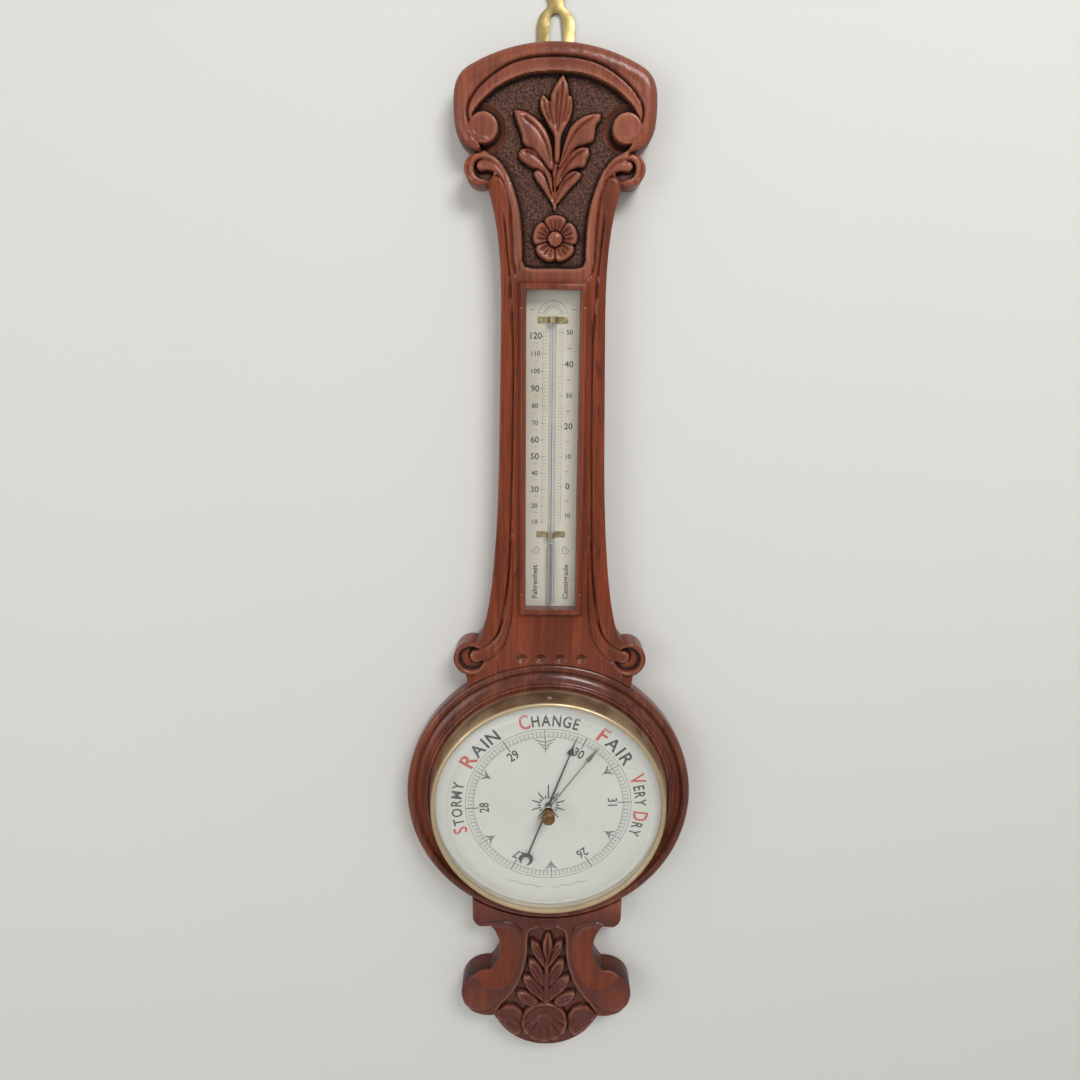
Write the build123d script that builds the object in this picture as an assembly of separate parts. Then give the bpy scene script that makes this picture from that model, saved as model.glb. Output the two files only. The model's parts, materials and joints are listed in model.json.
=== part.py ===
from build123d import *
import math
import os

# Banjo barometer for a wall. Millimetres, X to the right, +Z up, the front faces -Y.
# The wall is the plane y = 0 and the origin is the eye of the hanging plate on that plane.
# "Depth" below is the distance in front of the wall, so a depth d lies at y = -d.
# "Drop" is the distance below the hanging eye, so a drop h lies at z = -h.

# Case board
board_thickness = 25.0
crest_drop = 40.0
crest_arc_radius = 136.0
crest_shoulder_x = 64.4
head_half_width = 77.0
head_widest_drop = 86.0
notch_half_width = 55.5
notch_drop = 117.0
head_volute_radius = 11.9
head_volute_x = 57.5
head_volute_drop = 128.5
neck_top_half_width = 51.5
neck_top_drop = 142.0
neck_slim_half_width = 42.1
neck_slim_drop = 270.0
neck_low_half_width = 49.0
neck_low_drop = 446.0
neck_foot_half_width = 60.0
neck_foot_drop = 506.0
neck_scroll_radius = 15.6
neck_scroll_x = 69.0
neck_scroll_drop = 527.5
dial_drop = 662.0
lug_half_width = 71.3
lug_radius = 11.0
lug_drop = 792.5
waist_bite_radius = 38.0
waist_half_width = 45.5
waist_drop = 828.0
apron_scroll_radius = 26.0
apron_scroll_x = 57.5
apron_scroll_drop = 879.5
apron_bottom_radius = 54.5
case_bottom_drop = 941.5
crest_edge_round = 6.0
crest_side_inset = 1.2
crest_top_inset = 4.6
neck_tuck = 8.0

# Carving
carving_depth = 7.5
crest_band_width = 11.6
crest_groove_width = 1.4
crest_groove_depth = 2.5
crest_fillet_width = 8.4
panel_arc_half_width = 54.0
panel_arc_fall = 18.6
panel_waist_half_width = 27.0
panel_waist_drop = 151.0
panel_foot_half_width = 22.6
panel_foot_drop = 200.0
panel_corner_radius = 5.0
crest_eye_radius = 11.5
crest_eye_x = 54.4
crest_eye_drop = 99.8
crest_hollow_radius = 18.0
rail_band_width = 9.6
rail_groove_width = 1.6
rail_groove_depth = 1.6
leaf_crown_depth = 6.3
leaf_crown_radius = 13.0
spray_root_drop = 156.5
middle_leaf_root = (0.0, 100.0)
middle_leaf_tip = (1.0, 64.5)
middle_leaf_half_width = 6.5
# Right-hand leaves of the head as (root x, root drop, tip x, tip drop, half width)
side_leaves = (
    (2.0, 102.0, 11.0, 78.0, 4.5),
    (1.5, 140.0, 33.0, 88.0, 9.5),
    (1.2, 150.0, 26.0, 113.5, 7.0),
    (1.0, spray_root_drop, 18.0, 129.5, 5.5),
)
stem_top_drop = 98.0
stem_top_half_width = 3.0
stem_foot_half_width = 1.2
stem_rise = 4.0
rosette_drop = 178.5
rosette_radius = 17.5
rosette_depth = 4.6
rosette_boss_radius = 5.8
rosette_boss_depth = 6.6
petal_count = 5
thumb_gouge_radius = 6.0
thumb_gouge_spacing = 17.3
thumb_gouge_count = 4
thumb_gouge_drop = 524.5
scroll_eye_radius = 7.0
scroll_eye_depth = 3.0
apron_panel_depth = 3.5
apron_panel_half_width = 19.0
apron_panel_top_drop = 801.0
apron_leaf_root = (0.0, 850.0)
apron_leaf_tip = (0.0, 808.0)
apron_leaf_half_width = 5.5
apron_lobe_tips = ((13.6, 843.0), (18.0, 861.0), (23.6, 881.0), (31.0, 899.0))
apron_lobe_root_x = 1.5
apron_lobe_fall = 24.0
apron_lobe_half_width = 4.6
shell_drop = 911.0
shell_radius = 22.5
shell_boss_radius = 7.0
roll_radius = 15.5
roll_rise = 2.0
roll_x = 66.5
roll_drop = 888.0

# Turned dial surround
surround_radius = 130.0
surround_back_depth = 10.0
surround_front_depth = 29.0
surround_seat_clearance = 0.2
round_overhang = 3.0
bullnose_width = 8.0
cove_width = 9.0
bead_width = 4.0

# Dial, pan, bezel and glass
pan_radius = 104.0
pan_sheet = 0.8
pan_rim_depth = 41.0
dial_shelf_width = 5.0
dial_radius = 102.7
dial_back_depth = 35.5
dial_thickness = 3.0
dial_centre_hole_radius = 3.0
bezel_clearance = 0.3
bezel_wall = 1.7
bezel_foot_radius = 108.0
bezel_front_depth = 50.5
glass_sight_radius = 101.5
glass_back_depth = 45.5
glass_thickness = 4.0
glass_bevel_width = 9.5
glass_bevel_rise = 2.4
glass_radius = 103.2

# Hands and knob
hand_arbor_radius = 0.9
hand_depth = 40.6
hand_thickness = 0.5
hand_reach = 74.0
hand_barb_reach = 58.0
hand_tail_reach = 51.8
hand_moon_radius = 6.2
hand_rest_angle = 20.0
hand_boss_radius = 3.2
set_hand_depth = 43.7
set_hand_thickness = 0.4
set_hand_reach = 75.0
set_hand_angle = 36.0
set_stem_radius = 1.6
set_bush_radius = 3.1
knob_radius = 5.75
knob_neck_radius = 3.3
knob_front_depth = 62.5
knob_flute_count = 24
knob_flute_radius = 0.5
running_clearance = 0.05

# Aneroid movement
drum_radius = 66.0
drum_sheet = 1.0
drum_back_depth = 3.0
drum_flange_radius = 76.0
bedplate_radius = 58.0
bedplate_thickness = 2.5
capsule_radius = 30.0
capsule_back_depth = 9.0
capsule_thickness = 9.0
capsule_ring_count = 4
capsule_ring_rise = 0.7
capsule_stud_radius = 4.0
spring_thickness = 1.2
spring_width = 24.0
spring_depth = 22.0
spring_root_x = -36.0
spring_bar_width = 8.0
bridge_leg_spacing = 68.0
bridge_bar_thickness = 3.0
lever_pivot_x = -12.0
lever_reach = 56.0
lever_width = 6.0
lever_thickness = 2.0
lever_swing_degrees = 1.8
link_pin_inset = 1.2
rocker_depth = 18.0
rocker_shaft_radius = 1.5
rocker_bearing_spacing = 30.0
rocker_pin_radius = 0.5
link_eye_clearance = 0.3
chain_depth = 30.0
chain_radius = 0.35
chain_drum_radius = 1.1
hand_swing_degrees = 300.0
arbor_bridge_spacing = 94.0
arbor_bridge_width = 8.0
arbor_bridge_bar = 1.4
arbor_rear_depth = 27.0
arbor_front_depth = 32.9
pillar_radius = 2.6
hairspring_inner_radius = 2.4
hairspring_pitch = 0.9
hairspring_half_turns = 12
hairspring_strip = 0.22
half_turn = 180
hairspring_depth = 31.3
hairspring_height = 0.6
adjuster_radius = 2.0
adjuster_head_radius = 3.4

# Thermometer
scale_recess_width = 43.5
scale_recess_height = 265.5
scale_centre_drop = 348.4
scale_plate_clearance = 0.25
scale_plate_thickness = 2.0
scale_face_depth = 15.0
tube_radius = 3.0
tube_gap = 0.3
tube_bore_radius = 0.5
tube_top_margin = 21.15
bulb_foot_margin = 2.85
bulb_length = 55.0
bulb_wall = 0.5
mercury_fall = 84.8
clip_width = 24.0
clip_height = 5.0
clip_sheet = 0.8
top_clip_lap = 2.3
bottom_clip_rise = 7.1
moulding_side = 5.85
moulding_end = 6.25
moulding_slope = 2.3
moulding_foot = 1.0
moulding_rise = 4.5
sight_side_lap = 0.1
sight_end_lap = 1.0
scale_glass_lap = 1.7
scale_glass_end_lap = 2.2
scale_glass_thickness = 2.0
glazing_clearance = 0.15

# Hanging plate
plate_thickness = 2.0
plate_width = 28.7
plate_shoulder_drop = 10.0
plate_foot_drop = 92.0
plate_fit_clearance = 0.25
eye_outer_radius = 8.5
eye_hole_radius = 2.75
plate_neck_width = 12.0
slot_top_drop = 15.0
slot_top_width = 8.0
slot_foot_width = 12.0
slot_foot_drop = 37.0

# Fasteners
hanging_screw_point = 16.0
surround_screw_point = 22.0
pan_screw_point = 16.0
drum_screw_point = 20.0
clip_pin_point = 5.0
frame_pin_point = 15.0
screw_ring_inset = 14.0
wood_screw_radius = 1.8
wood_screw_head_radius = 3.6
small_screw_radius = 1.2
small_screw_head_radius = 2.3
pin_radius = 0.8
screw_clearance = 0.1

# Places that follow from the sizes above
panel_ground_depth = board_thickness - carving_depth
apron_ground_depth = board_thickness - apron_panel_depth
pan_floor_front = surround_front_depth + pan_sheet
dial_front_depth = dial_back_depth + dial_thickness
glass_front_depth = glass_back_depth + glass_thickness
drum_hole_radius = drum_radius + 1.0
surround_hole_radius = drum_radius + 2.5
bedplate_back = drum_back_depth + drum_sheet
bedplate_front = bedplate_back + bedplate_thickness
capsule_front_depth = capsule_back_depth + capsule_thickness
lever_depth = spring_depth + spring_thickness + 0.3
lever_end_x = lever_pivot_x + lever_reach
link_pin_x = lever_end_x - link_pin_inset
rocker_arm = chain_depth - rocker_depth
rocker_swing_degrees = hand_swing_degrees * chain_drum_radius / rocker_arm
rocker_crank = (link_pin_x - lever_pivot_x) * lever_swing_degrees / rocker_swing_degrees
rocker_x = link_pin_x + rocker_crank
scale_top_drop = scale_centre_drop - scale_recess_height / 2
scale_foot_drop = scale_centre_drop + scale_recess_height / 2
tube_top_drop = scale_top_drop + tube_top_margin
bulb_bottom_drop = scale_foot_drop - bulb_foot_margin
bulb_top_drop = bulb_bottom_drop - bulb_length
mercury_drop = tube_top_drop + mercury_fall
clip_top_drop = tube_top_drop + top_clip_lap
clip_bottom_drop = bulb_top_drop - bottom_clip_rise
moulding_sight_width = scale_recess_width - 2 * sight_side_lap
moulding_sight_height = scale_recess_height - 2 * sight_end_lap
moulding_width = moulding_sight_width + 2 * moulding_side
moulding_height = moulding_sight_height + 2 * moulding_end
tube_axis_depth = scale_face_depth + tube_gap + tube_radius
scale_plate_back = scale_face_depth - scale_plate_thickness
stem_back_depth = set_hand_depth - 0.4
waist_bite_x = waist_half_width + waist_bite_radius


def at(depth):
    """A plane parallel to the wall, with its x to the right and its y up."""
    return Plane(origin=(0, -depth, 0), x_dir=(1, 0, 0), z_dir=(0, -1, 0))


def slab(sketch, back, front):
    """The sketch as a solid between two depths."""
    return extrude(at(back) * sketch, amount=front - back)


def place(x, drop):
    return Pos(x, -drop)


def disc(radius, back, front, x=0.0, drop=0.0):
    return slab(place(x, drop) * Circle(radius), back, front)


def both(sketch):
    """The sketch together with its mirror image in the centreline."""
    return sketch + mirror(sketch, about=Plane.YZ)


def turned(outline, x=0.0, drop=0.0):
    """A turned piece on an axis square to the wall, from a closed (radius, depth) outline."""
    plane = Plane(origin=(x, 0, -drop), x_dir=(1, 0, 0), z_dir=(0, 0, -1))
    return revolve(plane * make_face(outline), Axis((x, 0, -drop), (0, 1, 0)), 360)


def ring(inner, outer, back, front, x=0.0, drop=0.0):
    return disc(outer, back, front, x, drop) - disc(inner, back - 1, front + 1, x, drop)


def upright(radius, x, depth, low, high):
    """A round bar that stands along Z between two heights."""
    bar = extrude(Plane.XY.offset(low) * Circle(radius), amount=high - low)
    return Pos(x, -depth, 0) * bar


def polar(radius, clockwise_degrees, drop):
    """Point on a circle about the dial axis, with its angle clockwise from the top."""
    angle = math.radians(clockwise_degrees)
    return radius * math.sin(angle), drop - radius * math.cos(angle)


def screw(shank_radius, head_radius, head_face, point, x, drop):
    """A countersunk screw along the depth, from the face of its head to its point."""
    inward = 1.0 if point > head_face else -1.0
    cone = head_radius - shank_radius
    outline = Polyline(
        (0, head_face),
        (head_radius, head_face),
        (shank_radius, head_face + inward * cone),
        (shank_radius, point - inward * shank_radius),
        (0, point),
        close=True,
    )
    slot = slab(place(x, drop) * Rectangle(2 * head_radius, 0.6), head_face - 0.5, head_face + 0.5)
    return turned(outline, x, drop) - slot


def screw_hole(shank_radius, head_radius, head_face, point, x, drop):
    """Room for the screw of the same sizes, wider by the screw clearance."""
    inward = 1.0 if point > head_face else -1.0
    shank = shank_radius + screw_clearance
    head = head_radius + screw_clearance
    outline = Polyline(
        (0, head_face - inward),
        (head, head_face - inward),
        (head, head_face),
        (shank, head_face + inward * (head - shank)),
        (shank, point + inward * screw_clearance),
        (0, point + inward * screw_clearance),
        close=True,
    )
    return turned(outline, x, drop)


# Outline of the case
def head_face(inset=0.0):
    """Outline of the head, with its top and cheeks drawn in by the inset."""
    crest_centre_drop = crest_drop + crest_arc_radius
    radius = crest_arc_radius - inset
    shoulder_x = crest_shoulder_x * radius / crest_arc_radius
    shoulder_rise = math.sqrt(radius ** 2 - shoulder_x ** 2)
    shoulder_drop = crest_centre_drop - shoulder_rise
    crest = ThreePointArc(
        (-shoulder_x, -shoulder_drop),
        (0, -(crest_drop + inset)),
        (shoulder_x, -shoulder_drop),
    )
    right_cheek = Spline(
        (shoulder_x, -shoulder_drop),
        (head_half_width - inset, -head_widest_drop),
        (notch_half_width - inset, -notch_drop),
        tangents=((shoulder_rise, -shoulder_x), (-1.0, -0.15)),
    )
    floor = Line((notch_half_width - inset, -notch_drop), (inset - notch_half_width, -notch_drop))
    left_cheek = Spline(
        (inset - notch_half_width, -notch_drop),
        (inset - head_half_width, -head_widest_drop),
        (-shoulder_x, -shoulder_drop),
        tangents=((-1.0, 0.15), (shoulder_rise, shoulder_x)),
    )
    return make_face([crest, right_cheek, floor, left_cheek])


def neck_side(inset=0.0):
    """The hollow side of the neck, moved towards the middle by the inset."""
    return Spline(
        (neck_top_half_width - inset, -neck_top_drop),
        (neck_slim_half_width - inset, -neck_slim_drop),
        (neck_low_half_width - inset, -neck_low_drop),
        (neck_foot_half_width - inset, -neck_foot_drop),
        tangents=((-0.35, -1.0), (0.35, -1.0)),
    )


def neck_half():
    side = neck_side()
    edge = Polyline(
        (neck_foot_half_width, -neck_foot_drop),
        (neck_foot_half_width + neck_scroll_radius, -neck_scroll_drop),
        (neck_foot_half_width, -dial_drop),
        (0, -dial_drop),
        (0, -(notch_drop - neck_tuck)),
        (notch_half_width - neck_tuck, -(notch_drop - neck_tuck)),
        (notch_half_width - neck_tuck / 2, -notch_drop),
        (neck_top_half_width, -neck_top_drop),
    )
    return make_face(side.edges() + edge.edges())


def apron_half():
    lug_x = lug_half_width - lug_radius
    lug_bottom = lug_drop + lug_radius
    body_top = dial_drop + surround_radius / 2
    lug_column = Pos(lug_half_width / 2, -(body_top + lug_drop) / 2) * Rectangle(
        lug_half_width, lug_drop - body_top
    )
    lug_shelf = Pos(lug_x / 2, -lug_drop) * Rectangle(lug_x, 2 * lug_radius)
    waist = Pos(apron_scroll_x / 2, -(lug_bottom + apron_scroll_drop) / 2) * Rectangle(
        apron_scroll_x, apron_scroll_drop - lug_bottom + lug_radius
    )
    bite = place(waist_bite_x, waist_drop) * Circle(waist_bite_radius)
    lug = place(lug_x, lug_drop) * Circle(lug_radius)
    scroll = place(apron_scroll_x, apron_scroll_drop) * Circle(apron_scroll_radius)
    bottom_centre = case_bottom_drop - apron_bottom_radius
    bottom = place(0, bottom_centre) * Circle(apron_bottom_radius)
    return (waist - bite) + lug_column + lug_shelf + lug + scroll + bottom


# Carved work of the case
def crowned(sketch, ground, x, drop, lean_degrees, crown_radius=leaf_crown_radius):
    """A carved form that rises from the ground with a round back along its leaning axis."""
    crown = ground + leaf_crown_depth
    block = slab(sketch, ground - 1, crown)
    bar = Cylinder(crown_radius, 120)
    lying = Pos(x, -(crown - crown_radius), -drop) * Rot(0, lean_degrees, 0) * bar
    return block & lying


def leaf(root, tip, half_width, ground):
    """A pointed leaf between two (x, drop) points, widest at its middle."""
    x0, drop0 = root
    x1, drop1 = tip
    length = math.hypot(x1 - x0, drop1 - drop0)
    across = ((drop1 - drop0) / length, (x1 - x0) / length)
    middle = ((x0 + x1) / 2, (drop0 + drop1) / 2)
    left = (middle[0] + across[0] * half_width, -(middle[1] - across[1] * half_width))
    right = (middle[0] - across[0] * half_width, -(middle[1] + across[1] * half_width))
    sketch = make_face([
        ThreePointArc((x0, -drop0), left, (x1, -drop1)),
        ThreePointArc((x1, -drop1), right, (x0, -drop0)),
    ])
    lean = math.degrees(math.atan2(x1 - x0, drop0 - drop1))
    return crowned(sketch, ground, middle[0], middle[1], lean)


def head_leaves():
    ground = panel_ground_depth
    leaves = leaf(middle_leaf_root, middle_leaf_tip, middle_leaf_half_width, ground)
    for root_x, root_drop, tip_x, tip_drop, half_width in side_leaves:
        for side in (-1, 1):
            root = (side * root_x, root_drop)
            leaves += leaf(root, (side * tip_x, tip_drop), half_width, ground)
    stem = Polyline(
        (-stem_foot_half_width, -spray_root_drop),
        (stem_foot_half_width, -spray_root_drop),
        (stem_top_half_width, -stem_top_drop),
        (-stem_top_half_width, -stem_top_drop),
        close=True,
    )
    return leaves + slab(make_face(stem), ground - 1, ground + stem_rise)


def rosette(radius, boss_radius, drop, ground):
    petal_radius = radius * 0.46
    petal_ring = radius - petal_radius
    boss_front = ground + rosette_boss_depth
    flower = disc(petal_ring, ground - 1, ground + rosette_depth - 1, 0, drop)
    for index in range(petal_count):
        x, petal_drop = polar(petal_ring, index * 360 / petal_count, drop)
        flower += disc(petal_radius, ground - 1, ground + rosette_depth, x, petal_drop)
    dome_radius = boss_radius * 1.3
    dome = Pos(0, -(boss_front - dome_radius), -drop) * Sphere(dome_radius)
    return flower + (dome & disc(boss_radius, ground - 1, boss_front + 1, 0, drop))


def panel_sketch():
    """The sunk ground of the head: a wide arched top that narrows to a straight foot."""
    arc_drop = crest_drop + crest_band_width + crest_groove_width + crest_fillet_width
    arc_radius = (panel_arc_half_width ** 2 + panel_arc_fall ** 2) / (2 * panel_arc_fall)
    lobe_drop = crest_eye_drop + crest_hollow_radius
    arch = place(0, arc_drop + arc_radius) * Circle(arc_radius)
    band = Pos(0, -(arc_drop + lobe_drop) / 2) * Rectangle(
        2 * (crest_eye_x - crest_eye_radius / 2), lobe_drop - arc_drop
    )
    hollow_bottom = notch_drop + head_volute_radius / 2
    throat = make_face([
        Spline(
            (panel_foot_half_width + 17.0, -hollow_bottom),
            (panel_waist_half_width, -panel_waist_drop),
            (panel_foot_half_width, -(panel_foot_drop - panel_corner_radius)),
            tangents=((-0.5, -1.0), (0.0, -1.0)),
        ),
        Polyline(
            (panel_foot_half_width, -(panel_foot_drop - panel_corner_radius)),
            (panel_foot_half_width - panel_corner_radius, -panel_foot_drop),
            (0, -panel_foot_drop),
            (0, -arc_drop - panel_arc_fall),
            (panel_foot_half_width + 20.0, -crest_eye_drop),
            (panel_foot_half_width + 17.0, -hollow_bottom),
        ),
    ])
    hollow = place(crest_eye_x, crest_eye_drop) * Circle(crest_hollow_radius)
    inner_hollow = hollow & (place(crest_eye_x - 14.0, crest_eye_drop) * Rectangle(28.0, 40.0))
    eye = place(crest_eye_x, crest_eye_drop) * Circle(crest_eye_radius)
    return (arch & band) + both(throat) + both(inner_hollow) - both(eye)


def crest_groove():
    """The line between the round-nosed outer band of the crest and its flat inner band."""
    centre_drop = crest_drop + crest_arc_radius
    outer = crest_arc_radius - crest_band_width
    face = place(0, centre_drop) * (Circle(outer) - Circle(outer - crest_groove_width))
    window = place(0, crest_drop + 20.0) * Rectangle(2 * crest_eye_x, 40.0)
    return slab(face & window, board_thickness - crest_groove_depth, board_thickness + 1)


def rail_groove(inset, width, depth):
    low = neck_side(inset)
    high = neck_side(inset + width)
    joins = [
        Line(low @ 1, high @ 1),
        Line(high @ 0, low @ 0),
    ]
    face = make_face(low.edges() + high.edges() + joins)
    return slab(both(face), board_thickness - depth, board_thickness + 1)


def apron_panel():
    top = apron_panel_top_drop
    side = ThreePointArc(
        (apron_panel_half_width + 4.0, -top),
        (apron_panel_half_width, -waist_drop),
        (apron_panel_half_width + 9.0, -apron_scroll_drop),
    )
    rest = Polyline(
        (apron_panel_half_width + 9.0, -apron_scroll_drop),
        (apron_panel_half_width + 14.0, -shell_drop),
        (0, -(shell_drop + shell_radius)),
        (0, -top),
        (apron_panel_half_width + 4.0, -top),
    )
    return both(make_face(side.edges() + rest.edges()))


def apron_leaves():
    ground = apron_ground_depth
    leaves = leaf(apron_leaf_root, apron_leaf_tip, apron_leaf_half_width, ground)
    for tip_x, tip_drop in apron_lobe_tips:
        for side in (-1, 1):
            root = (side * apron_lobe_root_x, tip_drop + apron_lobe_fall)
            leaves += leaf(root, (side * tip_x, tip_drop), apron_lobe_half_width, ground)
    return leaves


def head_block():
    """The head of the board, with its front edge rounded over in two slopes."""
    straight = board_thickness - crest_edge_round
    sections = [
        at(straight) * head_face(),
        at(straight + crest_edge_round / 2) * head_face(crest_side_inset),
        at(board_thickness) * head_face(crest_top_inset),
    ]
    return slab(head_face(), 0, straight) + loft(sections, ruled=True)


def board_blank():
    """The board as sawn to its outline, before it is carved."""
    blank = slab(both(neck_half()), 0, board_thickness)
    blank += disc(surround_radius - round_overhang, 0, board_thickness, 0, dial_drop)
    blank += slab(both(apron_half()), 0, board_thickness)
    for x, drop, radius in (
        (neck_scroll_x, neck_scroll_drop, neck_scroll_radius),
        (head_volute_x, head_volute_drop, head_volute_radius),
    ):
        for side in (-1, 1):
            blank += disc(radius, 0, board_thickness, side * x, drop)
    return blank + head_block()


def case_board():
    board = board_blank()
    seat_radius = surround_radius + surround_seat_clearance
    board -= disc(seat_radius, surround_back_depth, board_thickness + 1, 0, dial_drop)
    board -= disc(surround_hole_radius, -1, board_thickness, 0, dial_drop)

    board -= slab(panel_sketch(), panel_ground_depth, board_thickness + 1)
    board -= crest_groove()
    board -= rail_groove(rail_band_width, rail_groove_width, rail_groove_depth)
    board += head_leaves()
    board += rosette(rosette_radius, rosette_boss_radius, rosette_drop, panel_ground_depth)

    board -= slab(apron_panel(), apron_ground_depth, board_thickness + 1)
    board += apron_leaves()
    board += rosette(shell_radius, shell_boss_radius, shell_drop, apron_ground_depth)
    for side in (-1, 1):
        roll = disc(roll_radius, board_thickness - 2, board_thickness + roll_rise,
                    side * roll_x, roll_drop)
        board += fillet(roll.edges().group_by(Axis.Y)[0], roll_rise * 0.9)
        for eye_x, eye_drop in ((head_volute_x, head_volute_drop), (neck_scroll_x, neck_scroll_drop)):
            board -= ring(scroll_eye_radius, scroll_eye_radius + rail_groove_width,
                          board_thickness - scroll_eye_depth, board_thickness + 1,
                          side * eye_x, eye_drop)
    for index in range(thumb_gouge_count):
        gouge_x = (index - (thumb_gouge_count - 1) / 2) * thumb_gouge_spacing
        ball = Sphere(thumb_gouge_radius)
        board -= Pos(gouge_x, -(board_thickness + thumb_gouge_radius * 0.6), -thumb_gouge_drop) * ball

    recess = place(0, scale_centre_drop) * Rectangle(scale_recess_width, scale_recess_height)
    board -= slab(recess, scale_plate_back, board_thickness + 1)
    board -= slab(plate_sketch(plate_fit_clearance), -1, plate_thickness)
    for x, drop in hanging_screw_places():
        board -= screw_hole(wood_screw_radius, wood_screw_head_radius, 0.0, hanging_screw_point, x, drop)
    for x, drop in surround_screw_places():
        board -= screw_hole(wood_screw_radius, wood_screw_head_radius, 0.0, surround_screw_point, x, drop)
    for x, drop in clip_pin_places():
        board -= disc(pin_radius + screw_clearance, clip_pin_point, scale_face_depth, x, drop)
    for x, drop in moulding_pin_places():
        board -= disc(pin_radius + screw_clearance, frame_pin_point, board_thickness + 1, x, drop)
    return board


# Fastener places, as (x, drop)
def hanging_screw_places():
    return [(0.0, 50.0), (-8.0, 80.0), (8.0, 80.0)]


def surround_screw_places():
    return [polar(surround_radius - screw_ring_inset, angle, dial_drop) for angle in (45, 135, 225, 315)]


def pan_screw_places():
    return [polar(pan_radius - screw_ring_inset, angle, dial_drop) for angle in (0, 120, 240)]


def drum_screw_places():
    return [polar((drum_radius + drum_flange_radius) / 2 + 0.5, angle, dial_drop)
            for angle in (60, 180, 300)]


def clip_pin_places():
    reach = clip_width / 2 - 2.5
    return [(side * reach, drop) for drop in (clip_top_drop, clip_bottom_drop) for side in (-1, 1)]


def moulding_pin_places():
    across = (moulding_width + scale_recess_width) / 4 + 0.4
    along = moulding_height / 2 - 20.0
    return [(sx * across, scale_centre_drop + sz * along) for sz in (-1, 1) for sx in (-1, 1)]


# Turned surround and dial parts
def dial_surround():
    outer = surround_radius
    back = surround_back_depth
    front = surround_front_depth
    nose_inner = outer - bullnose_width
    cove_inner = nose_inner - cove_width
    bead_inner = cove_inner - bead_width
    nose = board_thickness + 0.5
    outline = [
        Line((surround_hole_radius, back), (outer, back)),
        Line((outer, back), (outer, nose - bullnose_width / 2)),
        ThreePointArc((outer, nose - bullnose_width / 2),
                      (outer - bullnose_width / 2, nose),
                      (nose_inner, nose - bullnose_width / 2)),
        Line((nose_inner, nose - bullnose_width / 2), (nose_inner - 0.6, nose - bullnose_width / 2)),
        ThreePointArc((nose_inner - 0.6, nose - bullnose_width / 2),
                      (nose_inner - cove_width * 0.7, nose - bullnose_width * 0.28),
                      (cove_inner, front - 1.6)),
        ThreePointArc((cove_inner, front - 1.6),
                      (cove_inner - bead_width / 2, front),
                      (bead_inner, front - 1.0)),
        Line((bead_inner, front - 1.0), (bead_inner, front)),
        Line((bead_inner, front), (surround_hole_radius, front)),
        Line((surround_hole_radius, front), (surround_hole_radius, back)),
    ]
    body = turned(outline, 0, dial_drop)
    for x, drop in surround_screw_places():
        body -= screw_hole(wood_screw_radius, wood_screw_head_radius, 0.0, surround_screw_point, x, drop)
    for x, drop in pan_screw_places():
        body -= screw_hole(wood_screw_radius, wood_screw_head_radius,
                           pan_floor_front, pan_screw_point, x, drop)
    for x, drop in drum_screw_places():
        body -= screw_hole(small_screw_radius, small_screw_head_radius,
                           pan_floor_front + drum_sheet, drum_screw_point, x, drop)
    return body


def dial_pan():
    floor_back = surround_front_depth
    shelf_back = dial_back_depth - pan_sheet
    step = pan_radius - pan_sheet - dial_shelf_width
    outline = Polyline(
        (drum_hole_radius, floor_back),
        (step + pan_sheet, floor_back),
        (step + pan_sheet, shelf_back),
        (pan_radius, shelf_back),
        (pan_radius, pan_rim_depth),
        (pan_radius - pan_sheet, pan_rim_depth),
        (pan_radius - pan_sheet, dial_back_depth),
        (step, dial_back_depth),
        (step, pan_floor_front),
        (drum_hole_radius, pan_floor_front),
        close=True,
    )
    pan = turned(outline, 0, dial_drop)
    for x, drop in pan_screw_places():
        pan -= screw_hole(wood_screw_radius, wood_screw_head_radius,
                           pan_floor_front, pan_screw_point, x, drop)
    for x, drop in drum_screw_places():
        pan -= disc(small_screw_radius + screw_clearance, floor_back - 1, pan_floor_front + 1, x, drop)
    hole = upright(small_screw_radius + screw_clearance, 0, bezel_screw_depth(),
                   -dial_drop + pan_radius - 3, -dial_drop + pan_radius + 3)
    return pan - hole


def bezel_inner_radius():
    return pan_radius + bezel_clearance


def bezel_screw_depth():
    return (dial_front_depth + pan_rim_depth) / 2


def bezel():
    inner = bezel_inner_radius()
    wall = inner + bezel_wall
    base = surround_front_depth
    front = bezel_front_depth
    rebate = glass_front_depth - glass_bevel_rise + 0.2
    outline = [
        Line((inner, base), (bezel_foot_radius, base)),
        Line((bezel_foot_radius, base), (bezel_foot_radius, base + 1.2)),
        ThreePointArc((bezel_foot_radius, base + 1.2),
                      (bezel_foot_radius - 0.6, base + 2.4),
                      (wall, base + 3.0)),
        Line((wall, base + 3.0), (wall, front - 3.4)),
        ThreePointArc((wall, front - 3.4),
                      ((wall + glass_sight_radius) / 2 + 0.7, front - 0.6),
                      (glass_sight_radius + 0.6, front)),
        Line((glass_sight_radius + 0.6, front), (glass_sight_radius, front - 0.6)),
        Line((glass_sight_radius, front - 0.6), (glass_sight_radius, rebate)),
        Line((glass_sight_radius, rebate), (inner, rebate)),
        Line((inner, rebate), (inner, base)),
    ]
    body = turned(outline, 0, dial_drop)
    hole = upright(small_screw_radius + screw_clearance, 0, bezel_screw_depth(),
                   -dial_drop + inner - 2, -dial_drop + wall + 3)
    return body - hole


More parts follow.
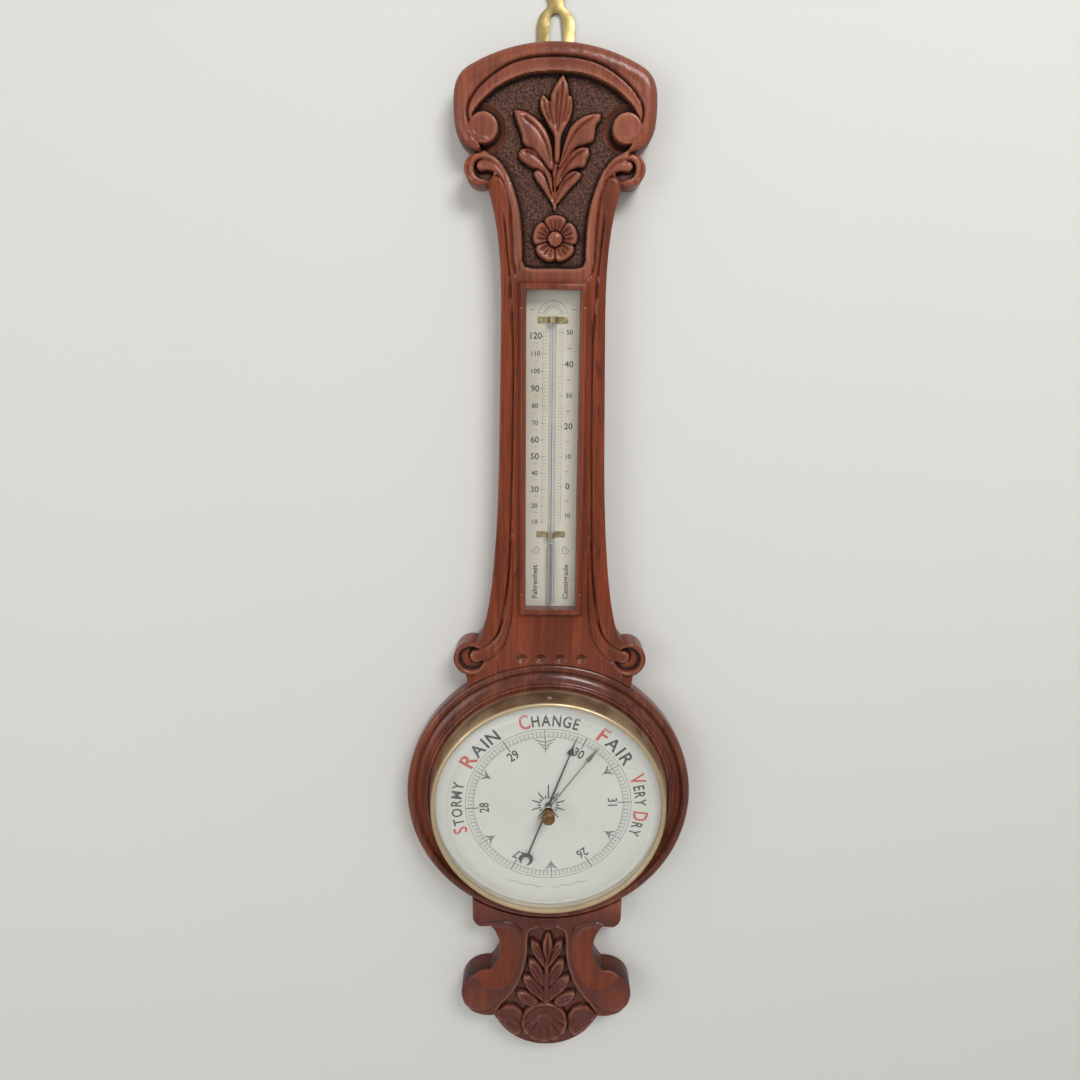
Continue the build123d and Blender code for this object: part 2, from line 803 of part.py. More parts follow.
def bezel_screw():
    """The small screw that locks the bezel to the pan, set radially at the top."""
    low = -dial_drop + pan_radius - pan_sheet - 1.0
    seat = -dial_drop + bezel_inner_radius() + bezel_wall
    shank = upright(small_screw_radius, 0, bezel_screw_depth(), low, seat)
    head = upright(small_screw_head_radius, 0, bezel_screw_depth(), seat, seat + 1.2)
    slot = Pos(0, -bezel_screw_depth(), seat + 1.2) * Box(2 * small_screw_head_radius, 0.6, 0.8)
    return shank + head - slot


def dial_glass():
    rim_front = glass_front_depth - glass_bevel_rise
    plain = glass_sight_radius - glass_bevel_width
    hole = set_bush_radius + running_clearance
    outline = Polyline(
        (hole, glass_back_depth),
        (glass_radius, glass_back_depth),
        (glass_radius, rim_front),
        (glass_sight_radius, rim_front),
        (plain, glass_front_depth),
        (hole, glass_front_depth),
        close=True,
    )
    return turned(outline, 0, dial_drop)


def glass_retaining_ring():
    outer = bezel_inner_radius() - running_clearance
    return ring(outer - 3.0, outer, glass_back_depth - 1.8, glass_back_depth - 0.05, 0, dial_drop)


def dial_plate():
    return ring(dial_centre_hole_radius, dial_radius, dial_back_depth, dial_front_depth, 0, dial_drop)


# Hands
def turned_to(angle, solid):
    """The solid turned clockwise about the dial axis, as seen from the front."""
    axis_at = Pos(0, 0, -dial_drop)
    return axis_at * Rot(0, angle, 0) * axis_at.inverse() * solid


def indicator_hand():
    back = hand_depth
    front = hand_depth + hand_thickness
    blade = make_face(Polyline(
        (-1.1, -dial_drop),
        (-0.5, -dial_drop + hand_barb_reach - 4),
        (-3.4, -dial_drop + hand_barb_reach - 2),
        (-0.6, -dial_drop + hand_barb_reach + 4),
        (0, -dial_drop + hand_reach),
        (0.6, -dial_drop + hand_barb_reach + 4),
        (3.4, -dial_drop + hand_barb_reach - 2),
        (0.5, -dial_drop + hand_barb_reach - 4),
        (1.1, -dial_drop),
        close=True,
    ))
    tail = place(0, dial_drop + hand_tail_reach / 2) * Rectangle(1.4, hand_tail_reach)
    moon_drop = dial_drop + hand_tail_reach + hand_moon_radius - 0.5
    moon = place(0, moon_drop) * Circle(hand_moon_radius)
    bite = place(0, moon_drop + 1.6) * Circle(hand_moon_radius * 0.62)
    mouth = place(0, moon_drop + hand_moon_radius) * Rectangle(hand_moon_radius * 0.8, hand_moon_radius)
    hand = slab(blade + tail + (moon - bite - mouth), back, front)
    hand += disc(hand_boss_radius, back - 0.5, front + 1.3, 0, dial_drop)
    hand -= disc(hand_arbor_radius, back - 2, front + 3, 0, dial_drop)
    return turned_to(hand_rest_angle, hand)


def set_hand():
    back = set_hand_depth
    front = set_hand_depth + set_hand_thickness
    barb = hand_barb_reach + 2.0
    blade = make_face(Polyline(
        (-0.7, -dial_drop - 14.0),
        (-0.4, -dial_drop + barb - 3),
        (-2.2, -dial_drop + barb - 1),
        (0, -dial_drop + set_hand_reach),
        (2.2, -dial_drop + barb - 1),
        (0.4, -dial_drop + barb - 3),
        (0.7, -dial_drop - 14.0),
        close=True,
    ))
    hand = slab(blade, back, front)
    hand += disc(set_stem_radius + 1.4, back - 0.3, glass_back_depth - 0.3, 0, dial_drop)
    hand -= disc(set_stem_radius, back - 1, glass_back_depth, 0, dial_drop)
    return turned_to(set_hand_angle, hand)


def set_knob():
    neck_back = glass_front_depth + 1.2
    head_back = neck_back + 3.2
    front = knob_front_depth
    outline = Polyline(
        (0, stem_back_depth),
        (set_stem_radius, stem_back_depth),
        (set_stem_radius, neck_back),
        (knob_neck_radius, neck_back),
        (knob_neck_radius, head_back),
        (knob_radius, head_back + 0.8),
        (knob_radius, front - 1.4),
        (knob_radius * 0.6, front - 0.25),
        (0, front),
        close=True,
    )
    flutes = Sketch()
    for index in range(knob_flute_count):
        angle = (index + 0.5) * 360 / knob_flute_count
        x, drop = polar(knob_radius + knob_flute_radius / 2, angle, dial_drop)
        flutes += place(x, drop) * Circle(knob_flute_radius)
    return turned(outline, 0, dial_drop) - slab(flutes, head_back - 1, front + 1)


def set_bush():
    """The bush that is fixed in the glass and carries the stem of the knob."""
    flange = set_bush_radius + 1.6
    outline = Polyline(
        (set_stem_radius + running_clearance, glass_back_depth),
        (set_bush_radius, glass_back_depth),
        (set_bush_radius, glass_front_depth),
        (flange, glass_front_depth),
        (flange, glass_front_depth + 0.8),
        (set_stem_radius + running_clearance, glass_front_depth + 0.8),
        close=True,
    )
    return turned(outline, 0, dial_drop)


# Aneroid movement
def movement_case():
    inside = drum_radius - drum_sheet
    front = pan_floor_front + drum_sheet
    outline = Polyline(
        (0, drum_back_depth),
        (drum_radius, drum_back_depth),
        (drum_radius, pan_floor_front),
        (drum_flange_radius, pan_floor_front),
        (drum_flange_radius, front),
        (inside, front),
        (inside, bedplate_back),
        (0, bedplate_back),
        close=True,
    )
    case = turned(outline, 0, dial_drop)
    for x, drop in drum_screw_places():
        case -= screw_hole(small_screw_radius, small_screw_head_radius, front,
                           drum_screw_point, x, drop)
    for x, drop in bedplate_screw_places():
        case -= disc(small_screw_radius + screw_clearance, 0, bedplate_back + 1, x, drop)
    return case - disc(adjuster_head_radius + 0.4, 0, bedplate_back + 1, spring_root_x, dial_drop)


def bedplate_screw_places():
    return [polar(bedplate_radius - 6.0, angle, dial_drop) for angle in (30, 150, 270)]


def bedplate():
    plate = disc(bedplate_radius, bedplate_back, bedplate_front, 0, dial_drop)
    plate += disc(adjuster_radius + 2.0, bedplate_front, bedplate_front + 3.0, spring_root_x, dial_drop)
    plate -= disc(adjuster_radius + running_clearance, 0, bedplate_front + 4, spring_root_x, dial_drop)
    for x, drop in bedplate_screw_places():
        plate -= disc(small_screw_radius + screw_clearance, 0, bedplate_front + 1, x, drop)
    return plate


def bedplate_screws():
    screws = []
    for x, drop in bedplate_screw_places():
        head = disc(small_screw_head_radius, drum_back_depth - 1.0, drum_back_depth, x, drop)
        shank = disc(small_screw_radius, drum_back_depth, bedplate_front, x, drop)
        screws.append(head + shank)
    return Compound(children=screws)


def vacuum_capsule():
    """The sealed capsule, with rings pressed into its two thin faces."""
    back = capsule_back_depth
    front = capsule_front_depth
    rings = []
    hub = capsule_stud_radius + 2.0
    pitch = (capsule_radius - 2.0 - hub) / capsule_ring_count
    outline = [(0, back), (hub, back)]
    for index in range(capsule_ring_count):
        rings.append(hub + (index + 0.5) * pitch)
    for radius in rings:
        outline += [(radius, back + capsule_ring_rise), (radius + pitch / 2, back)]
    outline += [(capsule_radius, back + 1.5), (capsule_radius, front - 1.5)]
    for radius in reversed(rings):
        outline += [(radius + pitch / 2, front), (radius, front - capsule_ring_rise)]
    outline += [(hub, front), (0, front)]
    return turned(Polyline(*outline, close=True), 0, dial_drop)


def capsule_stud():
    return disc(capsule_stud_radius, bedplate_front, capsule_back_depth, 0, dial_drop)


def capsule_post():
    """The post on the front of the capsule, which the main spring holds up."""
    post = disc(capsule_stud_radius, capsule_front_depth, capsule_front_depth + 1.5, 0, dial_drop)
    return post + disc(2.0, capsule_front_depth + 1.5, spring_depth, 0, dial_drop)


def spring_bridge():
    bar_back = spring_depth - bridge_bar_thickness
    length = bridge_leg_spacing + spring_bar_width
    bar = place(spring_root_x, dial_drop) * Rectangle(spring_bar_width, length)
    bridge = slab(bar, bar_back, spring_depth)
    for side in (-1, 1):
        leg_drop = dial_drop + side * bridge_leg_spacing / 2
        leg = place(spring_root_x, leg_drop) * Rectangle(spring_bar_width, spring_bar_width)
        bridge += slab(leg, bedplate_front, bar_back)
    for x, drop in spring_screw_places():
        bridge -= disc(small_screw_radius + screw_clearance, bar_back - 1, spring_depth + 1, x, drop)
    return bridge


def spring_screw_places():
    return [(spring_root_x, dial_drop + side * spring_width / 3) for side in (-1, 1)]


def main_spring():
    back = spring_depth
    front = spring_depth + spring_thickness
    root = spring_root_x - spring_bar_width / 2
    leaf_shape = make_face(Polyline(
        (root, -dial_drop - spring_width / 2),
        (root, -dial_drop + spring_width / 2),
        (lever_pivot_x, -dial_drop + spring_width / 2),
        (4.0, -dial_drop + 4.0),
        (4.0, -dial_drop - 4.0),
        (lever_pivot_x, -dial_drop - spring_width / 2),
        close=True,
    ))
    spring = slab(leaf_shape, back, front)
    for x, drop in spring_screw_places():
        spring -= disc(small_screw_radius + screw_clearance, back - 1, front + 1, x, drop)
    return spring


def spring_screws():
    head_back = spring_depth + spring_thickness
    screws = []
    for x, drop in spring_screw_places():
        shank = disc(small_screw_radius, spring_depth - bridge_bar_thickness, head_back, x, drop)
        head = disc(small_screw_head_radius, head_back, head_back + 1.0, x, drop)
        screws.append(shank + head)
    return Compound(children=screws)


def main_lever():
    """The long lever that the spring's free end carries, with the eye for the link."""
    back = lever_depth
    front = lever_depth + lever_thickness
    start = lever_pivot_x - 2.0
    length = lever_end_x - start
    bar = place(start + length / 2, dial_drop) * Rectangle(length, lever_width)
    lever = slab(bar, back, front)
    fork_gap = place(lever_end_x, dial_drop) * Rectangle(6.0, 2.4)
    lever -= slab(fork_gap, back - 1, front + 1)
    pin = upright(rocker_pin_radius, link_pin_x, (back + front) / 2,
                  -dial_drop - lever_width / 2, -dial_drop + lever_width / 2)
    return lever + pin


def link_rod():
    """The short link between the lever's pin and the crank of the rocking shaft."""
    upper_depth = lever_depth + lever_thickness / 2
    eye = rocker_pin_radius + running_clearance
    open_eye = rocker_pin_radius + link_eye_clearance
    thickness = 1.6
    half = thickness / 2
    outer = open_eye + 0.7
    plane = Plane(origin=(link_pin_x, 0, -dial_drop - half), x_dir=(1, 0, 0), z_dir=(0, 0, 1))
    top = Pos(0, -upper_depth) * Circle(eye + 0.9)
    foot = Pos(0, -rocker_depth) * Circle(outer)
    web = Pos(0, -(upper_depth + rocker_depth) / 2) * Rectangle(1.2, upper_depth - rocker_depth)
    holes = Pos(0, -upper_depth) * Circle(eye) + Pos(0, -rocker_depth) * Circle(open_eye)
    return extrude(plane * (top + foot + web - holes), amount=thickness)


def rocking_shaft():
    """The cross shaft, with its crank to the link and its upright arm to the chain."""
    half = rocker_bearing_spacing / 2
    shaft = upright(rocker_shaft_radius, rocker_x, rocker_depth, -dial_drop - half + 1.5,
                    -dial_drop + half - 1.5)
    pivots = upright(0.7, rocker_x, rocker_depth, -dial_drop - half - 1.5, -dial_drop + half + 1.5)
    crank = shaft + pivots
    for side in (-1, 1):
        cheek = Pos((link_pin_x + rocker_x) / 2, -rocker_depth, -dial_drop + side * 1.6)
        crank += cheek * Box(rocker_crank, 1.0, 0.8)
    crank += upright(rocker_pin_radius, link_pin_x, rocker_depth, -dial_drop - 2.0, -dial_drop + 2.0)
    arm_z = -dial_drop - chain_drum_radius
    arm = Pos(rocker_x, -(rocker_depth + rocker_arm / 2), arm_z - 6.0) * Box(1.2, rocker_arm, 1.6)
    tip = Pos(rocker_x, -chain_depth, arm_z - 3.0) * Box(1.2, 1.2, 6.8)
    return crank + arm + tip


def rocking_bearings():
    posts = []
    half = rocker_bearing_spacing / 2
    for side in (-1, 1):
        z = -dial_drop + side * half
        height = rocker_depth + 3.0 - bedplate_front
        post = Pos(rocker_x, -(bedplate_front + height / 2), z) * Box(5.0, height, 2.0)
        hole = upright(0.7 + running_clearance, rocker_x, rocker_depth, z - 2, z + 2)
        posts.append(post - hole)
    return Compound(children=posts)


def hand_chain():
    """The fine chain from the arm to the small drum on the hand arbor."""
    z = -dial_drop - chain_drum_radius - chain_radius
    start = rocker_x - 0.7
    rod = extrude(Plane.YZ * Circle(chain_radius), amount=start)
    return Pos(0, -chain_depth, z) * rod


def hand_arbor():
    outline = Polyline(
        (0, arbor_rear_depth),
        (hand_arbor_radius, arbor_rear_depth),
        (hand_arbor_radius, chain_depth - 1.0),
        (chain_drum_radius + 0.9, chain_depth - 1.0),
        (chain_drum_radius + 0.9, chain_depth - 0.6),
        (chain_drum_radius, chain_depth - 0.6),
        (chain_drum_radius, chain_depth + 0.6),
        (chain_drum_radius + 0.9, chain_depth + 0.6),
        (chain_drum_radius + 0.9, chain_depth + 1.0),
        (hairspring_inner_radius - 0.4, hairspring_depth - 0.1),
        (hairspring_inner_radius - 0.4, hairspring_depth + hairspring_height + 0.1),
        (hand_arbor_radius, hairspring_depth + hairspring_height + 0.1),
        (hand_arbor_radius, hand_depth + hand_thickness + 1.8),
        (0, hand_depth + hand_thickness + 1.8),
        close=True,
    )
    return turned(outline, 0, dial_drop)


def bridge_bar(back):
    length = arbor_bridge_spacing + arbor_bridge_width
    bar = place(0, dial_drop) * Rectangle(arbor_bridge_width, length)
    plate = slab(bar, back, back + arbor_bridge_bar)
    return plate - disc(hand_arbor_radius + running_clearance, back - 1, back + 3, 0, dial_drop)


def arbor_bridge_rear():
    return bridge_bar(arbor_rear_depth)


def arbor_bridge_front():
    bar = bridge_bar(arbor_front_depth)
    stud_drop = dial_drop + hairspring_stud_reach()
    return bar - disc(pin_radius + screw_clearance, arbor_front_depth - 1,
                      arbor_front_depth + 3, 0, stud_drop)


def bridge_pillars():
    pillars = []
    for side in (-1, 1):
        drop = dial_drop + side * arbor_bridge_spacing / 2
        pillars.append(disc(pillar_radius, bedplate_front, arbor_rear_depth, 0, drop))
        pillars.append(disc(pillar_radius, arbor_rear_depth + arbor_bridge_bar, arbor_front_depth, 0, drop))
    return Compound(children=pillars)


def hairspring_outer_radius():
    return hairspring_inner_radius + hairspring_half_turns * hairspring_pitch / 2


def hairspring_stud_reach():
    return hairspring_outer_radius() + 1.1


def hairspring():
    """A flat spiral of half circles, struck by turns from two centres."""
    strip = hairspring_strip / 2
    shift = hairspring_pitch / 2
    outer = []
    inner = []
    for index in range(hairspring_half_turns):
        radius = hairspring_inner_radius + index * shift
        upper = index % 2 == 0
        centre = (0, 0) if upper else (shift, 0)
        start = 0 if upper else half_turn
        outer.append(CenterArc(centre, radius + strip, start, half_turn))
        inner.append(CenterArc(centre, radius - strip, start, half_turn))
    ends = [
        Line(inner[0] @ 0, outer[0] @ 0),
        Line(outer[-1] @ 1, inner[-1] @ 1),
    ]
    face = make_face(outer + inner + ends)
    spiral = Pos(0, -dial_drop) * face
    return slab(spiral, hairspring_depth, hairspring_depth + hairspring_height)


def hairspring_stud():
    """The pin in the front bridge that holds the outer end of the hairspring."""
    drop = dial_drop + hairspring_stud_reach()
    return disc(pin_radius, hairspring_depth, arbor_front_depth + arbor_bridge_bar, 0, drop)


def adjusting_screw():
    tip = spring_depth - bridge_bar_thickness - 0.3
    head_face = drum_back_depth - 0.8
    head = disc(adjuster_head_radius, head_face, bedplate_back - 0.1, spring_root_x, dial_drop)
    shank = disc(adjuster_radius, bedplate_back - 0.1, tip, spring_root_x, dial_drop)
    slot = place(spring_root_x, dial_drop) * Rectangle(2 * adjuster_head_radius + 1, 0.9)
    return head + shank - slab(slot, head_face - 1, head_face + 0.8)


# Thermometer
def thermometer_frame():
    foot = board_thickness + moulding_foot
    ridge = board_thickness + moulding_rise
    slope = math.degrees(math.atan2(moulding_slope, ridge - foot))
    base = place(0, scale_centre_drop) * Rectangle(moulding_width, moulding_height)
    sight = place(0, scale_centre_drop) * Rectangle(moulding_sight_width, moulding_sight_height)
    rebate_width = glazing_width() + 2 * glazing_clearance
    rebate_height = glazing_height() + 2 * glazing_clearance
    rebate = place(0, scale_centre_drop) * Rectangle(rebate_width, rebate_height)
    frame = slab(base, board_thickness, foot)
    frame += extrude(at(foot) * base, amount=ridge - foot, taper=slope)
    frame -= slab(sight, board_thickness - 1, ridge + 1)
    frame -= slab(rebate, board_thickness - 1, board_thickness + scale_glass_thickness + glazing_clearance)
    for x, drop in moulding_pin_places():
        frame -= disc(pin_radius + screw_clearance, board_thickness - 1, ridge + 1, x, drop)
    return frame


def glazing_width():
    return scale_recess_width + 2 * scale_glass_lap


def glazing_height():
    return moulding_sight_height + 2 * scale_glass_end_lap


def thermometer_glass():
    pane = place(0, scale_centre_drop) * Rectangle(glazing_width(), glazing_height())
    return slab(pane, board_thickness, board_thickness + scale_glass_thickness)


def frame_pins():
    front = board_thickness + moulding_rise - 1.2
    pins = [disc(pin_radius, frame_pin_point, front, x, drop) for x, drop in moulding_pin_places()]
    return Compound(children=pins)


def thermometer_plate():
    width = scale_recess_width - 2 * scale_plate_clearance
    height = scale_recess_height - 2 * scale_plate_clearance
    plate = slab(place(0, scale_centre_drop) * Rectangle(width, height), scale_plate_back, scale_face_depth)
    for x, drop in clip_pin_places():
        plate -= disc(pin_radius + screw_clearance, scale_plate_back - 1, scale_face_depth + 1, x, drop)
    return plate


def bulb_solid(radius, top, bottom):
    """A round-ended bulb that stands on the tube's axis."""
    body = upright(radius, 0, tube_axis_depth, -(bottom - radius), -(top + radius))
    lower = Pos(0, -tube_axis_depth, -(bottom - radius)) * Sphere(radius)
    upper = Pos(0, -tube_axis_depth, -(top + radius)) * Sphere(radius)
    return body + lower + upper


def thermometer_mercury():
    bulb = bulb_solid(tube_radius - bulb_wall, bulb_top_drop, bulb_bottom_drop)
    column = upright(tube_bore_radius, 0, tube_axis_depth, -(bulb_top_drop + 2.0), -mercury_drop)
    return bulb + column


def thermometer_tube():
    stem = upright(tube_radius, 0, tube_axis_depth, -(bulb_top_drop + 2.0), -tube_top_drop)
    glass = stem + bulb_solid(tube_radius, bulb_top_drop - bulb_wall, bulb_bottom_drop + bulb_wall)
    gap = 0.02
    hollow = bulb_solid(tube_radius - bulb_wall + gap, bulb_top_drop - gap, bulb_bottom_drop + gap)
    bore = upright(tube_bore_radius + gap, 0, tube_axis_depth, -(bulb_top_drop + 2.0), -(tube_top_drop + 4.0))
    return glass - hollow - bore


def thermometer_clip(drop):
    """A brass strap that arches over the tube and is pinned to the plate at both ends."""
    inner = tube_radius + 0.1
    outer = inner + clip_sheet
    rise = tube_axis_depth
    plane = Plane(origin=(0, 0, -drop - clip_height / 2), x_dir=(1, 0, 0), z_dir=(0, 0, 1))
    feet = Pos(0, -(scale_face_depth + clip_sheet / 2)) * Rectangle(clip_width, clip_sheet)
    legs = Pos(0, -(scale_face_depth + rise) / 2) * Rectangle(2 * outer, rise - scale_face_depth)
    arch = Pos(0, -rise) * Circle(outer)
    room = Pos(0, -rise) * Circle(inner)
    room += Pos(0, -(scale_face_depth + rise) / 2) * Rectangle(2 * inner, rise - scale_face_depth)
    room += Pos(0, -(scale_face_depth - inner)) * Rectangle(clip_width, 2 * inner)
    clip = extrude(plane * (feet + legs + arch - room), amount=clip_height)
    for x, pin_drop in clip_pin_places():
        if pin_drop == drop:
            clip -= disc(pin_radius + screw_clearance, scale_face_depth - 1,
                         scale_face_depth + 2, x, pin_drop)
    return clip


def clip_pins():
    pins = []
    for x, drop in clip_pin_places():
        face = scale_face_depth + clip_sheet
        shank = disc(pin_radius, clip_pin_point, face, x, drop)
        pins.append(shank + disc(pin_radius + 0.7, face, face + 0.6, x, drop))
    return Compound(children=pins)


# Hanging plate
def plate_sketch(grow=0.0):
    """The brass plate: an eye on a neck, an arched shoulder and a long foot."""
    half = plate_width / 2 + grow
    arch_drop = plate_shoulder_drop + plate_width / 2
    shoulder = place(0, arch_drop) * Circle(half)
    foot_length = plate_foot_drop - arch_drop + grow
    foot = place(0, arch_drop + foot_length / 2) * Rectangle(2 * half, foot_length)
    neck = place(0, arch_drop / 2) * Rectangle(plate_neck_width + 2 * grow, arch_drop)
    eye = Circle(eye_outer_radius + grow)
    return shoulder + foot + neck + eye


def hanging_plate():
    slot_arch = place(0, slot_top_drop + slot_top_width / 2) * Circle(slot_top_width / 2)
    slot = make_face(Polyline(
        (-slot_top_width / 2, -(slot_top_drop + slot_top_width / 2)),
        (slot_top_width / 2, -(slot_top_drop + slot_top_width / 2)),
        (slot_foot_width / 2, -slot_foot_drop),
        (-slot_foot_width / 2, -slot_foot_drop),
        close=True,
    ))
    plate = slab(plate_sketch() - Circle(eye_hole_radius) - slot_arch - slot, 0, plate_thickness)
    for x, drop in hanging_screw_places():
        plate -= screw_hole(wood_screw_radius, wood_screw_head_radius, 0.0, hanging_screw_point, x, drop)
    return plate


def screws(places, shank_radius, head_radius, head_face, point):
    return Compound(children=[
        screw(shank_radius, head_radius, head_face, point, x, drop) for x, drop in places
    ])


def make_pieces():
    return {
        "case_board": case_board(),
        "dial_surround": dial_surround(),
        "surround_screws": screws(surround_screw_places(), wood_screw_radius,
                                  wood_screw_head_radius, 0.0, surround_screw_point),
        "hanging_plate": hanging_plate(),
        "hanging_screws": screws(hanging_screw_places(), wood_screw_radius,
                                 wood_screw_head_radius, 0.0, hanging_screw_point),
        "thermometer_frame": thermometer_frame(),
        "frame_pins": frame_pins(),
        "thermometer_glass": thermometer_glass(),
        "thermometer_plate": thermometer_plate(),
        "thermometer_tube": thermometer_tube(),
        "thermometer_mercury": thermometer_mercury(),
        "thermometer_clip_top": thermometer_clip(clip_top_drop),
        "thermometer_clip_bottom": thermometer_clip(clip_bottom_drop),
        "clip_pins": clip_pins(),
        "dial_pan": dial_pan(),
        "pan_screws": screws(pan_screw_places(), wood_screw_radius, wood_screw_head_radius,
                             pan_floor_front, pan_screw_point),
        "dial_plate": dial_plate(),
        "bezel": bezel(),
        "bezel_screw": bezel_screw(),
        "dial_glass": dial_glass(),
        "glass_retaining_ring": glass_retaining_ring(),
        "indicator_hand": indicator_hand(),
        "set_hand": set_hand(),
        "set_knob": set_knob(),
        "set_bush": set_bush(),
        "movement_case": movement_case(),
        "movement_screws": screws(drum_screw_places(), small_screw_radius,
                                  small_screw_head_radius, pan_floor_front + drum_sheet,
                                  drum_screw_point),
        "bedplate": bedplate(),
        "bedplate_screws": bedplate_screws(),
        "vacuum_capsule": vacuum_capsule(),
        "capsule_stud": capsule_stud(),
        "capsule_post": capsule_post(),
        "spring_bridge": spring_bridge(),
        "main_spring": main_spring(),
        "spring_screws": spring_screws(),
        "main_lever": main_lever(),
        "link_rod": link_rod(),
        "rocking_shaft": rocking_shaft(),
        "rocking_bearings": rocking_bearings(),
        "hand_chain": hand_chain(),
        "hand_arbor": hand_arbor(),
        "arbor_bridge_rear": arbor_bridge_rear(),
        "arbor_bridge_front": arbor_bridge_front(),
        "bridge_pillars": bridge_pillars(),
        "hairspring": hairspring(),
        "hairspring_stud": hairspring_stud(),
        "adjusting_screw": adjusting_screw(),
    }


os.makedirs("parts", exist_ok=True)
for name, piece in make_pieces().items():
    export_step(piece, f"parts/{name}.step")
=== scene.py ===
"""Looks of the banjo barometer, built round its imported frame."""

import json
import math

import bpy
import numpy as np
from mathutils import Matrix, Vector, geometry


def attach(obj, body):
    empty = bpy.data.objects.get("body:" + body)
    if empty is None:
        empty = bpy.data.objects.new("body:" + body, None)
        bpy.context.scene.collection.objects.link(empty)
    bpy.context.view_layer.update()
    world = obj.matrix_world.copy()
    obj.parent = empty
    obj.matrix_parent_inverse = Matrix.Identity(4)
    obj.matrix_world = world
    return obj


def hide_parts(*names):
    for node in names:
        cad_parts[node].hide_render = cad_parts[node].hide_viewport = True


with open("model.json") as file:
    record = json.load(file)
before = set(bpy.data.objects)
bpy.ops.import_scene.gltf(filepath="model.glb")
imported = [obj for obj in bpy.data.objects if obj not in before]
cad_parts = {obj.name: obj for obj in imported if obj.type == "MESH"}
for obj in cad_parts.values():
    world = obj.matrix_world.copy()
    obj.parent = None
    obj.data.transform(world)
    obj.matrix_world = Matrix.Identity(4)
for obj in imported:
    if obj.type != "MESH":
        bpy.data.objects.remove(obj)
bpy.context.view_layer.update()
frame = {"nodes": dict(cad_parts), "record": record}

bl_info = {
    "name": "Banjo barometer",
    "version": (1, 0, 0),
    "blender": (4, 5, 0),
    "location": "View3D > Sidebar > Barometer",
    "description": "Builds the looks of a carved banjo barometer",
    "category": "Object",
}

MM = 0.001

# Places on the front, in millimetres: x from the centreline, drop below the hanging eye
BOARD_FACE = 25.0
SEAT_DEPTH = 10.0
DIAL_DROP = 662.0
SEAT_RADIUS = 130.2
HOLE_RADIUS = 68.5
RECESS_HALF = (21.75, 132.75)
RECESS_DROP = 348.4
RECESS_DEPTH = 13.0
PLATE_HALF = 14.6
PLATE_FOOT = 92.25
PLATE_DEPTH = 2.0
SCREW_POCKET = (3.8, 116.0, 2.2)
PANEL_DEPTH = 17.5
APRON_DEPTH = 21.2
DIAL_FACE = 38.5
SCALE_FACE = 15.0
PRINT_THICKNESS = 0.05

# Carved features of the right half, as (x, drop), and their radii
HEAD_FOOT = 118.5
NOSE = 6.0
NOSE_WIDTH = 9.0
BUTTON = (54.4, 99.8)
BUTTON_RADIUS = 11.5
CRESCENT_RADIUS = 18.0
BOWL = (56.0, 128.0)
ROSETTE = (0.9, 178.5)
ROSETTE_RADIUS = 17.8
FOOT_SCROLL = (69.0, 527.5)
GOUGES = (-24.0, -8.0, 9.6, 28.0)
GOUGE_DROP = 526.6
APRON_TOP = 778
ROLL = (66.5, 888.0)
SHELL = (-1.4, 912.4)

# Dial print: radii, and the turns clockwise from the top in degrees
WORD_RADIUS = 82.5
NUMBER_RADIUS = 57.5
FLOURISH_RADIUS = 84.5
RING_LINES = ((74.8, 0.45), (67.4, 0.38), (72.2, 0.3))
FIRST_INCH = 26
INCHES = 5
FIRST_TURN = 147.0
DIAL_SPAN = 300.0

MERGE = 0.000002


# Tools
def deselect():
    """Clears the selection."""
    for thing in bpy.context.selected_objects:
        thing.select_set(False)


def pick(piece):
    """Makes the piece the only selected and the active object."""
    deselect()
    piece.select_set(True)
    bpy.context.view_layer.objects.active = piece


def edit_all(piece, *steps):
    """Runs mesh operators in edit mode, each on the whole piece."""
    pick(piece)
    bpy.ops.object.mode_set(mode="EDIT")
    for operator, values in steps:
        bpy.ops.mesh.select_all(action="SELECT")
        operator(**values)
    bpy.ops.object.mode_set(mode="OBJECT")


def new_object(name, data):
    """A new object in the scene's own collection."""
    made = bpy.data.objects.new(name, data)
    bpy.context.scene.collection.objects.link(made)
    return made


def mesh_piece(name, points, faces, edges=()):
    """A new object from points in metres."""
    mesh = bpy.data.meshes.new(name)
    mesh.from_pydata(points, edges, faces)
    mesh.update()
    return new_object(name, mesh)


def spot(x, drop, depth):
    """The point at x, drop and depth, given in millimetres."""
    return Vector((x * MM, -depth * MM, -drop * MM))


def smooth_by_angle(piece, degrees=35):
    """Shades the piece smooth, apart from edges sharper than the angle."""
    pick(piece)
    bpy.ops.object.shade_smooth_by_angle(angle=math.radians(degrees))


def finish_piece(piece, body, slot, material, *nodes):
    """Gives the piece its finish and body, and hides the nodes it stands for. The slot is not used."""
    if material is not None:
        piece.data.materials.clear()
        piece.data.materials.append(material)
    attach(piece, body)
    if nodes:
        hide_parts(*nodes)
    return piece


def spun(name, outline, steps=192):
    """A turned piece: a closed (radius, depth) outline spun round the dial's axis."""
    points = [spot(radius, DIAL_DROP, depth) for radius, depth in outline]
    count = len(points)
    piece = mesh_piece(name, points, [], [(i, (i + 1) % count) for i in range(count)])
    turn = {"steps": steps, "angle": math.tau, "center": (0, 0, -DIAL_DROP * MM), "axis": (0, 1, 0)}
    edit_all(
        piece,
        (bpy.ops.mesh.spin, turn),
        (bpy.ops.mesh.remove_doubles, {"threshold": 2 * MERGE}),
        (bpy.ops.mesh.normals_make_consistent, {"inside": False}),
    )
    smooth_by_angle(piece)
    return piece


